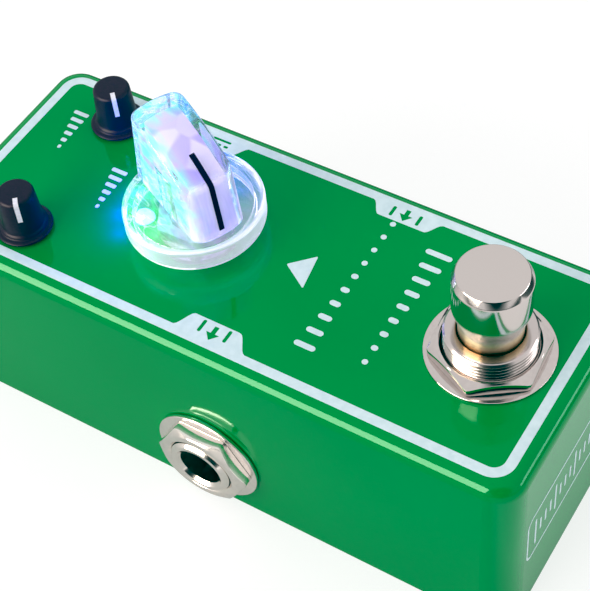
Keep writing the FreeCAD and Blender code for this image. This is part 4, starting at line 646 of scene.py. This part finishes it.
def hexagon_nut(name, flats, hole, thickness, low, place, turn):
    """Hexagon nut: the outline is flats / 2 over the cosine of the angle from the nearest flat. A cone cuts the
    top corners back to a round face, and its bore has a small countersink."""
    steps = 6 * NUT_SIDE_STEPS
    angles = np.arange(steps) * 2 * math.pi / steps
    from_flat = (angles + math.pi / 6) % (math.pi / 3) - math.pi / 6
    hexagon = np.minimum(flats / 2 / np.cos(from_flat), flats / 2 / math.cos(math.pi / 6) - 0.12)
    face = NUT_FACE * flats / 2
    shoulder = thickness - np.maximum(hexagon - face, 0) * math.tan(NUT_CUT)
    rows = [(hole + 0.35, 0), (hexagon - 0.15, 0), (hexagon - 0.03, 0.04), (hexagon, 0.15),
            (hexagon, shoulder - 0.08), (hexagon - 0.03, shoulder - 0.01), (hexagon - 0.12, shoulder + 0.05),
            (face + 0.06, thickness - 0.02), (face - 0.08, thickness), (hole + 0.4, thickness),
            (hole, thickness - 0.3), (hole, 0.3)]
    points = np.stack([circled(reach, height + low, steps, turn) for reach, height in rows])
    return finish_mesh(grid_mesh(name, points + np.asarray(place, float), wrap=(True, True)), 24)


mesh = hexagon_nut("stomp_nut", 14.0, SWITCH_HOLE, 1.8, SWITCH_WASHER, panel, math.radians(35))
add_piece("stomp_nut", mesh, nickel, "housing", ["footswitch_nut"])

# ---- Large clear knob
# Injection-moulded clear acrylic, one piece: a wedge grip with a sloping crown on a hollow skirt. Light
# from the lamp behind it runs along its edges, painted in as glow, and a black line is let into its front.
KNOB_AT = (0.0, middle("time_pot_washer", 1), TOP + 1.9)
KNOB_TURN = math.radians(-115.0)
GRIP_FOOT = 3.0
GRIP_SUNK = 0.5
GRIP_HALF = 3.85
# Each end's distance from the axis at the foot, lean and bow radius; the crown's radius, peak and axis behind
FRONT = (7.75, math.tan(math.radians(8.2)), 15.0)
REAR = (9.6, math.tan(math.radians(9.2)), 12.0)
CROWN = (27.1, 16.44, 8.73)
GRIP_CORNER = 1.2
GRIP_EDGE = 0.45
RING_STEPS = 12
SKIRT = ((8.2, 0), (9.2, 0), (9.65, 0.6), (9.65, 3.2), (9.3, 3.6), (0, 3.6), (0, 2.4), (8.2, 2.4))
SHAFT_BORE = ((0, -1.0), (3.04, -1.0), (3.04, 10.52), (0, 10.52))


def crown_height(x):
    """Height of the crown, a cylinder lying across the grip, at x in front of the axis."""
    radius, peak, back = CROWN
    return peak - radius + np.sqrt(radius ** 2 - (x + back) ** 2)


def unit_ring():
    """Shares of a rounded rectangle's ring: which end and side each point belongs to, and its place on its
    corner's quarter circle. Along a side all four run straight from one corner to the next."""
    corners = []
    for quarter, (end, side) in enumerate(((1, 1), (-1, 1), (-1, -1), (1, -1))):
        angle = np.linspace(0, math.pi / 2, RING_STEPS) + quarter * math.pi / 2
        corners.append(np.stack(np.broadcast_arrays(end, side, np.cos(angle), np.sin(angle))))
    shares = np.linspace(0, 1, 2 * RING_STEPS)[1:-1]
    parts = []
    for corner, following in zip(corners, corners[1:] + corners[:1]):
        parts += [corner, corner[:, -1:] + (following[:, :1] - corner[:, -1:]) * shares]
    return np.hstack(parts)


GRIP_RING = unit_ring()
RING_COUNT = GRIP_RING.shape[1]


def grip_ring(height, inset, corner):
    """Ring at a height for each point: a rounded rectangle between the leaning ends, whose ends bow out by
    the rise of a circle over its chord, drawn in by an inset."""
    share_x, share_y, corner_x, corner_y = GRIP_RING
    y = share_y * (GRIP_HALF - inset - corner) + corner_y * corner
    high = FRONT[0] - FRONT[1] * (height - GRIP_FOOT) - inset - FRONT[2] + np.sqrt(FRONT[2] ** 2 - y ** 2)
    low = REAR[1] * (height - GRIP_FOOT) - REAR[0] + inset + REAR[2] - np.sqrt(REAR[2] ** 2 - y ** 2)
    share = (share_x + 1) / 2
    return (low + corner) * (1 - share) + (high - corner) * share + corner_x * corner, y


def grip_block(foot, inset, corner, edge, drop):
    """Closed grid of the grip: its foot, its leaning sides up to the crown less a drop, a quarter-circle
    edge and the crown itself, all drawn in by an inset."""
    x, y = grip_ring(np.full(RING_COUNT, foot), inset, corner)
    rows = [np.stack([x * share, y * share, np.full(RING_COUNT, foot)], axis=-1) for share in np.linspace(0, 1, 8)]
    for share in np.linspace(0, 1, 24)[1:]:
        for settle in range(6):
            height = foot + share * (crown_height(x) - drop - edge - foot)
            x, y = grip_ring(height, inset, corner)
        rows.append(np.stack([x, y, height], axis=-1))
    for lean in np.linspace(0, math.pi / 2, 6)[1:]:
        sunk = edge * (1 - math.cos(lean))
        for settle in range(6):
            height = crown_height(x) - drop - edge + edge * math.sin(lean)
            x, y = grip_ring(height, inset + sunk, corner - sunk)
        rows.append(np.stack([x, y, height], axis=-1))
    middle_x = (x.max() + x.min()) / 2
    for share in np.linspace(1, 0, 14)[1:]:
        inner_x = middle_x + (x - middle_x) * share
        rows.append(np.stack([inner_x, y * share, crown_height(inner_x) - drop], axis=-1))
    return np.stack(rows)


def headed(points, heading, place):
    """Turn points about Z from +X to a heading and move them to a place."""
    spin = np.array([[math.cos(heading), math.sin(heading), 0], [-math.sin(heading), math.cos(heading), 0],
                     [0, 0, 1]])
    return points @ spin + np.array(place)


def merge_solids(name, first, second, operation):
    """Boolean of two closed meshes, applied."""
    base, tool = stand(name, first), stand(name + "_tool", second)
    cut = base.modifiers.new("join", "BOOLEAN")
    cut.operation = operation
    cut.solver = "EXACT"
    cut.object = tool
    bpy.context.view_layer.update()
    shape = bpy.data.meshes.new_from_object(base.evaluated_get(bpy.context.evaluated_depsgraph_get()))
    bpy.data.objects.remove(base)
    bpy.data.objects.remove(tool)
    return shape


grip = headed(grip_block(GRIP_FOOT - GRIP_SUNK, 0.0, GRIP_CORNER, GRIP_EDGE, 0.0), KNOB_TURN, KNOB_AT)
skirt = headed(rings(np.maximum(rounded_profile(SKIRT, 0.25), 0), 128), KNOB_TURN, KNOB_AT)
grip_mesh = finish_mesh(grid_mesh("grip", grip))
skirt_mesh = finish_mesh(grid_mesh("skirt", skirt, wrap=(True, True)))
knob_mesh = merge_solids("clear_knob", skirt_mesh, grip_mesh, "UNION")
bore = turned("bore", SHAFT_BORE, KNOB_AT, closed=False)
knob_mesh = finish_mesh(merge_solids("clear_knob", knob_mesh, bore, "DIFFERENCE"), 30)


def knob_frame(tree):
    """The knob's own coordinates in mm inside a material, whole and as X to the pointer, Y to its left and Z
    up from the foot."""
    own = node(tree, "Mapping", {
        "Vector": node(tree, "TexCoord").outputs["Object"], "Location": [value * MM for value in KNOB_AT],
        "Rotation": (0, 0, KNOB_TURN), "Scale": (MM, MM, MM)}, vector_type="TEXTURE")
    return (own, *node(tree, "SeparateXYZ", {"Vector": own}).outputs)


def stretched(tree, own, scale, detail=2.0, distortion=0.5):
    """Noise in the knob's frame, drawn out along the directions with a small scale."""
    return node(tree, "TexNoise", {"Vector": node(tree, "Mapping", {"Vector": own, "Scale": scale}), "Scale": 1.0,
                                   "Detail": detail, "Distortion": distortion})


def zone(tree, *limits):
    """How far a point lies within all limits: the product of their shares. A limit is a share by itself, or a
    measure, where its straight ramp starts and ends, and the lowest and highest share if not 0 and 1."""
    product = None
    for measure, *ramp in limits:
        if ramp:
            ends = dict(zip(("From Min", "From Max", "To Min", "To Max"), ramp))
            measure = node(tree, "MapRange", {"Value": measure, **ends})
        product = measure if product is None else node(tree, "Math", {0: product, 1: measure}, operation="MULTIPLY")
    return product


acrylic, tree = new_finish("clear_acrylic")
# Clear acrylic, polished like glass, with the lamp's light from below painted in as glow: green at the skirt's left,
# mint and cyan in bands along the left flank, blue at the rear, with painted highlight streaks and edges; the front
# and the rim are faintly milky and glow faintly too
own, x, y, z = knob_frame(tree)
across = node(tree, "CombineXYZ", {"X": x, "Y": y})
radius = node(tree, "VectorMath", {0: across}, operation="LENGTH").outputs["Value"]
on_grip = zone(tree, (z, 3.4, 3.9))
bands = stretched(tree, own, (0.13, 0.5, 0.55))
patches = stretched(tree, own, (0.3, 0.3, 0.3), 1.0, 1.0)
wavy_y = node(tree, "Math", {0: y, 1: zone(tree, (bands, 0.35, 0.65, -3.2, 3.6))}, operation="ADD")
glow = node(tree, "ValToRGB", {"Fac": zone(tree, (wavy_y, -9.0, 9.0))}, (
    (0.0, "#00FF50"), (0.2, "#20FF70"), (0.29, "#50FFA0"), (0.37, "#58E8E8"), (0.46, "#A8B0FF"),
    (0.56, "#58C0FF"), (0.66, "#10C0FF"), (0.8, "#2070FF"), (1.0, "#1850FF")))
grip_lit = node(tree, "Math", {0: zone(tree, (x, -4.5, -7.5)), 1: zone(tree, (y, -2.8, -4.2), (x, 7.0, 3.0))},
                operation="MAXIMUM")
skirt_lit = node(tree, "Math", {0: zone(tree, (y, -2.5, -5.0), (x, 5.0, 0.0)),
                                1: zone(tree, (y, 3.6, 4.8, 0.0, 0.75), (x, 6.5, 2.0))}, operation="MAXIMUM")
lit = zone(tree, (on_grip, 0.0, 1.0, skirt_lit, grip_lit))
broken = zone(tree, (lit,), (patches, 0.35, 0.6, 0.25, 1.0))
from_streak = node(tree, "Math", {0: node(tree, "Math", {0: bands, 1: 0.52}, operation="SUBTRACT")},
                   operation="ABSOLUTE")
# Painted highlight: thin white streaks of glow where the bands' noise crosses its middle
white = zone(tree, (from_streak, 0.02, 0.005, 0.0, 0.7), (lit,))
front = zone(tree, (x, 5.0, 6.2), (on_grip,))
rim = zone(tree, (radius, 8.7, 9.3), (x, -6.0, 2.0))
milky_front = zone(tree, (front,), (stretched(tree, own, (0.5, 0.7, 0.06)), 0.35, 0.65, 0.5, 0.9))
milk_and_glow = node(tree, "Math", {0: milky_front, 1: rim}, operation="MAXIMUM")
# Painted glow on the skirt's top in front of the grip
skirt_top_glow = zone(tree, (x, 1.0, 5.0), (z, 3.2, 3.5), (on_grip, 0.0, 1.0, 1.0, 0.0))
rear_corner = zone(tree, (y, 1.0, 2.8), (x, -3.0, -5.5))
pale = node(tree, "Math", {0: white, 1: skirt_top_glow}, operation="MAXIMUM")
pale = node(tree, "Math", {0: pale, 1: milk_and_glow}, operation="MAXIMUM")
rim_and_skirt_glow = node(tree, "Math", {0: rim, 1: skirt_top_glow}, operation="MAXIMUM")
# The painted glow's power is the sum of the lit zones, the painted highlight streaks, a painted highlight along the
# front's left edge, the milky parts and the glowing rim and skirt top
power = zone(tree, (broken,), (on_grip, 0.0, 1.0, 0.54, 0.34))
for part in (zone(tree, (broken,), (rear_corner, 0.0, 1.0, 0.0, 0.35)), zone(tree, (white, 0.0, 1.0, 0.0, 0.5)),
             zone(tree, (y, -3.2, -3.7, 0.0, 0.35), (front,)), zone(tree, (milk_and_glow, 0.0, 1.0, 0.0, 0.22)),
             zone(tree, (rim_and_skirt_glow, 0.0, 1.0, 0.0, 0.27))):
    power = node(tree, "Math", {0: power, 1: part}, operation="ADD")
node(tree, "OutputMaterial", {"Surface": node(tree, "BsdfPrincipled", {
    "Base Color": node(tree, "ValToRGB", {"Fac": milk_and_glow}, ((0.0, "#F6F4FF"), (1.0, "#E0DAFF"))),
    "Roughness": 0.03, "IOR": 1.49,
    "Transmission Weight": zone(tree, (zone(tree, (front,), (milk_and_glow,)), 0.0, 1.0, 0.95, 0.4)),
    "Emission Color": node(tree, "MixRGB", {"Fac": pale, "Color1": glow, "Color2": linear("#ECE8FF")}),
    "Emission Strength": power})})
add_piece("clear_knob", knob_mesh, acrylic, "time_control", ["time_knob"])

milky, tree = new_finish("frosted_acrylic_core")
# The moulded socket inside the grip, frosted by the mould's sparked steel: milky lilac, in soft upright
# bands. The mint and cyan where it faces the lamp are painted lamp light, and the whole core has a painted glow
own, x, y, z = knob_frame(tree)
facets = node(tree, "TexVoronoi", {"Vector": node(tree, "Mapping", {"Vector": own, "Scale": (0.3, 0.32, 0.08)}),
                                   "Scale": 1.0, "Smoothness": 0.25}, feature="SMOOTH_F1")
uprights = node(tree, "SeparateColor", {"Color": facets.outputs["Color"]}).outputs["Red"]
tone = node(tree, "ValToRGB", {"Fac": uprights}, ((0.1, "#B4A6FF"), (0.4, "#CFC4FF"), (0.65, "#E2DCFF"),
                                                  (0.9, "#F4F0FF")))
to_lamp = node(tree, "Math", {0: zone(tree, (y, -1.4, -3.0)), 1: zone(tree, (x, -3.5, -6.0))}, operation="MAXIMUM")
tinted = zone(tree, (to_lamp,), (stretched(tree, own, (0.2, 0.4, 0.45)), 0.42, 0.58))
mint = node(tree, "MixRGB", {"Fac": tinted, "Color1": tone, "Color2": linear("#70F0E0")})
# Painted glow: the core emits its own colour, with the painted mint where it faces the lamp
node(tree, "OutputMaterial", {"Surface": node(tree, "BsdfPrincipled", {
    "Base Color": mint, "Roughness": 0.4, "Emission Color": mint, "Emission Strength": 0.3})})
CORE_FOOT = 2.6
CORE_INSET, CORE_CORNER, CORE_EDGE, CORE_DROP = 1.25, 0.5, 0.12, 1.6
CORE_AHEAD = 0.75
CORE_SOCKET = ((0, 1.0), (3.3, 1.0), (3.3, 10.8), (0, 10.8))
core = grip_block(CORE_FOOT, CORE_INSET, CORE_CORNER, CORE_EDGE, CORE_DROP) + np.array([CORE_AHEAD, 0, 0])
core_mesh = finish_mesh(grid_mesh("core", headed(core, KNOB_TURN, KNOB_AT)), 30)
socket = turned("socket", CORE_SOCKET, KNOB_AT, closed=False)
core_mesh = finish_mesh(merge_solids("knob_core", core_mesh, socket, "DIFFERENCE"), 30)
add_piece("knob_core", core_mesh, milky, "time_control")

# Black paint filled into the moulded groove: near black with a violet cast, satin
line_black = mottled("filled_black_line", 0.4, ((0.3, "#2E0E30"), (0.7, "#361436")),
                     {"Roughness": 0.6, "Specular IOR Level": 0.05})
LINE_HALF = 0.375
LINE_START = 2.2
LINE_END = 4.4
LINE_PROUD = 0.04
LINE_SUNK = 0.35


def front_face(height):
    """The front face's distance from the axis at a height."""
    return FRONT[0] - FRONT[1] * (height - GRIP_FOOT)


def inlay(name, path, half_width, proud, depth, heading, place):
    """A painted line along a path of (x, z) points: a closed strip a little proud of the surface it follows
    and sunk below it, turned to a heading."""
    step = np.gradient(path, axis=0)
    outward = np.stack([-step[:, 1], step[:, 0]], axis=-1)
    outward *= np.sign(outward @ np.array([1.0, 1.0]))[:, None] / np.linalg.norm(outward, axis=1, keepdims=True)
    strip = []
    for side, lift in ((-1, -depth), (-1, proud), (1, proud), (1, -depth)):
        spots = path + outward * lift
        strip.append(np.stack([spots[:, 0], np.full(len(path), side * half_width), spots[:, 1]], axis=-1))
    strip = np.stack(strip, axis=1)
    capped = np.concatenate([strip[:1].mean(axis=1, keepdims=True).repeat(4, axis=1), strip,
                             strip[-1:].mean(axis=1, keepdims=True).repeat(4, axis=1)])
    return finish_mesh(grid_mesh(name, headed(capped, heading, place)), 50)


# The line runs down the crown, over the rounded edge and down the front; it bends where the two meet
crease = front_face(12.0)
for settle in range(20):
    crease = front_face(crown_height(crease) - GRIP_EDGE)
crest_x = np.linspace(LINE_START, crease - GRIP_EDGE, 12)
lean = np.linspace(0, math.pi / 2, 7)[1:]
bend_x = crease - GRIP_EDGE * (1 - np.sin(lean))
bend_z = crown_height(bend_x) - GRIP_EDGE * (1 - np.cos(lean))
low_z = np.linspace(crown_height(crease) - GRIP_EDGE, LINE_END, 8)[1:]
path = np.stack([np.concatenate([crest_x, bend_x, front_face(low_z)]),
                 np.concatenate([crown_height(crest_x), bend_z, low_z])], axis=-1)
mesh = inlay("clear_knob_line", path, LINE_HALF, LINE_PROUD, LINE_SUNK, KNOB_TURN, KNOB_AT)
add_piece("clear_knob_line", mesh, line_black, "time_control", ["time_knob_indicator"])

# ---- Lamp under the clear knob
# A clear round lamp in the panel beside the knob's nut. It lights the acrylic from below, which the knob's finish
# paints in as glow, and spills blue on the enamel.

# Clear epoxy lens over a lit chip: blue-white with a soft cyan mottle
lamp_lens = mottled("lit_lamp_lens", 1.667, ((0.2, "#2A7CFF"), (0.8, "#9CFFF0")), {
    "Base Color": linear("#BFE8FF"), "Roughness": 0.1, "Emission Strength": 2.2}, paint="Emission Color")
dress(lamp_lens, "glow_lamp")
SPILL_HEIGHT = 1.4
SPILL_RADIUS = 0.8
# Each spill: name, direction from the knob's axis in degrees, distance, power in watts, colour
SPILLS = (
    ("lamp_spill_left", 124, 10.7, 0.0022, "#0018FF"),
    ("lamp_spill_rear_left", 106, 10.9, 0.0042, "#0010FF"),
    ("lamp_spill_rear", 88, 10.9, 0.0034, "#0018FF"),
)
for name, way, distance, power, colour in SPILLS:
    outward = Vector((math.cos(math.radians(way)), math.sin(math.radians(way)), 0))
    place = Vector((*KNOB_AT[:2], TOP + SPILL_HEIGHT)) + outward * distance
    lamp = add_lamp(name, "POINT", place, power, colour)
    lamp.data.shadow_soft_size = SPILL_RADIUS * MM
    lamp.visible_camera = False
    lamp.visible_glossy = False

# ---- Small knobs
# Moulded black plastic pushed on the shafts, with a foot flange, a satin skin and a white line let in.

# Moulded ABS: near black with a faint violet cast and a fine spark-eroded grain that dulls the gloss
small_black = mottled("moulded_black_abs", 0.333, ((0.3, "#351B2F"), (0.7, "#3B1D34")),
                      {"Roughness": 0.36, "Specular IOR Level": 0.17}, bump=(0.15, 0.03), Detail=3.0)
# White paint filled into the knob's groove: flat white, a little uneven
line_white = mottled("filled_white_line", 0.333, ((0.3, "#E4E2F0"), (0.7, "#F4F2FC")), {"Roughness": 0.45})
# (radius, height above the panel) from the foot over the flange, the flare and the side to the hollowed top
SMALL_BODY = ((0, 0.3), (3.75, 0.3), (3.98, 0.38), (3.98, 0.62), (3.7, 0.8), (3.3, 0.86), (3.22, 1.25),
              (3.0, 1.45), (2.92, 1.9), (2.62, 6.85), (2.3, 7.19), (0, 7.12))
SMALL_TURNS = (("left", -138.0), ("right", -135.0))
POINTER_START = 1.2
POINTER_END = 4.0
# The pointer's half width, how far it stands proud and how deep it is sunk
SMALL_POINTER = (0.325, 0.02, 0.28)
body = rounded_profile(SMALL_BODY, 0.22, closed=False)
side_low, side_high, top_edge, top_middle = SMALL_BODY[-4:]
start_height = np.interp(POINTER_START, [top_middle[0], top_edge[0]], [top_middle[1], top_edge[1]])
end_radius = np.interp(POINTER_END, [side_low[1], side_high[1]], [side_low[0], side_high[0]])
edge_line = body[(body[:, 1] > POINTER_END) & (body[:, 0] > POINTER_START)][::-1]
path = np.vstack([[POINTER_START, start_height], edge_line, [end_radius, POINTER_END]])
for side_name, pointer_turn in SMALL_TURNS:
    knob, control = side_name + "_knob", side_name + "_control"
    spot = (middle(knob, 0), middle(knob, 1), TOP)
    mesh = turned("small_knob", body, spot, closed=False, steps=120, crease=40)
    add_piece(side_name + "_small_knob", mesh, small_black, control, [knob])
    mesh = inlay("small_pointer", path, *SMALL_POINTER, math.radians(pointer_turn), spot)
    add_piece(side_name + "_small_pointer", mesh, line_white, control, [knob + "_pointer"])

# ---- Signal jacks
# Panel jacks: nickel-plated brass bushing with a fine thread, a hexagon nut and a flat washer outside the
# wall, and a moulded body with its contact springs inside it.


def sideways(mesh, side, place):
    """Tip a piece built along +Z so that it points out of the wall on one side: local Z becomes X."""
    return move_points(mesh, lambda spots: np.stack(
        [side * spots[:, 2], -side * spots[:, 0], spots[:, 1]], axis=-1) + np.array(place) * MM)


# Nickel over a stamped nut and washer: warm, a touch softer than the switch's plating, and paler: a brighter copy of
# the plating, painted light that stands in for brighter reflections
brightened_jack_nickel = mottled("satin_nickel_plate_brightened", 0.909, ((0.3, "#F0E7E1"), (0.7, "#F8F0EA")),
                      {"Metallic": 1.0, "Roughness": 0.12}, Detail=4.0)
JACK_HOLE = 4.83
JACK_WASHER = 0.6
for side_name, side in (("output", -1), ("input", 1)):
    nut_name, washer_name = side_name + "_jack_nut", side_name + "_jack_washer"
    face = abs(edge(washer_name, 1 if side < 0 else 0, 0))
    spot = (side * face, middle(nut_name, 1), middle(nut_name, 2))
    mesh = hexagon_nut("jack_nut", 12.7, JACK_HOLE, 2.0, JACK_WASHER, (0, 0, 0), math.pi / 2)
    add_piece(side_name + "_socket_nut", sideways(mesh, side, spot), brightened_jack_nickel, "housing", [nut_name])
    mesh = washer("jack_washer", 8.0, JACK_HOLE, JACK_WASHER, (0, 0, 0))
    add_piece(side_name + "_socket_washer", sideways(mesh, side, spot), brightened_jack_nickel, "housing",
              [washer_name])
# The bushings get the same brightened copy of the plating, as painted light
dress(brightened_jack_nickel, "output_jack_bushing", "input_jack_bushing")

# ---- Inner parts and underside
# Steel screws, nuts and pressed shells, moulded nylon bodies and chips, silvered contacts and green boards,
# under a pressed and sprayed bottom plate.

# Zinc-plated steel: cool grey metal with a soft sheen and a faint crystal mottle
steel = mottled("zinc_plated_steel", 1.11, ((0.0, "#9EA3A8"), (0.6, "#B9BDC0")),
                {"Metallic": 1.0, "Roughness": 0.34}, kind="TexVoronoi", by="Distance")
dress(steel, "plate_screws", "footswitch_lock_washer", "footswitch_inner_nut", "footswitch_frame",
      "time_pot_washer", "time_pot_nut", "time_pot_shaft", "left_pot_shaft",
      "right_pot_shaft", "lamp_leads", "dc_jack_pin")

# The switch's return spring is wound from steel wire. Here it is a fixed coil on the housing with a mesh of its own;
# the real one shortens as the cap goes down
COIL_RADIUS = 3.1
WIRE = 0.35
COIL_TURNS = 3.5
COIL_STEPS = 200
WIRE_SIDES = 14
spring_low, spring_high = edge("footswitch_spring", 0, 2), edge("footswitch_spring", 1, 2)
round_coil = np.linspace(0, 2 * math.pi * COIL_TURNS, COIL_STEPS)[:, None]
round_wire = np.arange(WIRE_SIDES) * 2 * math.pi / WIRE_SIDES
girth = np.concatenate([[0.0], np.full(COIL_STEPS - 2, WIRE), [0.0]])[:, None]
reach = COIL_RADIUS + girth * np.cos(round_wire)
climb = np.linspace(spring_low + WIRE, spring_high - WIRE, COIL_STEPS)[:, None]
coil = np.stack([reach * np.cos(round_coil), reach * np.sin(round_coil) + switch_y,
                 climb + girth * np.sin(round_wire)], axis=-1)
mesh = finish_mesh(grid_mesh("return_spring", coil))
spring = add_piece("return_spring", mesh, steel, "housing", ["footswitch_spring"])
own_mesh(spring)

# The pressed bottom plate has the same green enamel, a little duller and with a coarser peel
plate_paint = mottled("enamelled_plate", 2.0, ((0.3, "#008944"), (0.7, "#00944B")), {"Roughness": 0.3},
                      bump=(0.08, 0.1))
dress(plate_paint, "bottom_plate")

# Glass-filled nylon: dull black with a slight mottle
moulding = mottled("moulded_black_nylon", 0.667, ((0.3, "#16161A"), (0.7, "#222226")), {"Roughness": 0.5},
                   bump=(0.2, 0.05), Detail=4.0)
dress(moulding, "footswitch_case", "output_jack_case", "input_jack_case", "dc_jack_case", "board_socket",
      "board_header", "delay_chip", "amplifier_chips", "voltage_regulator")

# Pressed tinned steel shells of the potentiometers: pale metal with a soft drawn grain
pot_metal = mottled("pressed_pot_shell", 4.55, ((0.0, "#A9A7A2"), (1.0, "#C2C0BB")),
                    {"Metallic": 1.0, "Roughness": 0.3}, kind="TexWave", Distortion=3.0)
dress(pot_metal, "time_pot_case", "left_pot_case", "right_pot_case")

# Silver-plated spring bronze: pale, bright, with a faint warm tarnish
silver = mottled("silvered_bronze", 1.43, ((0.3, "#D9D2C2"), (0.7, "#F1EFEA")), {"Metallic": 1.0, "Roughness": 0.22})
dress(silver, "footswitch_terminals", "output_jack_contacts", "input_jack_contacts", "dc_jack_contacts")

BOARD_WEAVE = 1.11
laminate, tree = new_finish("green_solder_mask")
# Glass-epoxy board under dark green solder mask, with a faint weave
own = node(tree, "TexCoord").outputs["Object"]
weave = node(tree, "TexBrick", {"Vector": own, "Scale": 1 / (BOARD_WEAVE * MM), "Color1": linear("#0B3D24"),
                                "Color2": linear("#0E4A2C"), "Mortar": linear("#093420")})
node(tree, "OutputMaterial", {"Surface": node(tree, "BsdfPrincipled", {"Base Color": weave, "Roughness": 0.35})})
dress(laminate, "main_board", "control_board")

# Aluminium can in a shrunk dark sleeve: satin, almost black, with a slight ripple
can = mottled("sleeved_aluminium_can", 8.33, ((0.0, "#1B2230"), (1.0, "#232C3E")), {"Roughness": 0.3},
              kind="TexWave", Distortion=2.0)
dress(can, "capacitors")
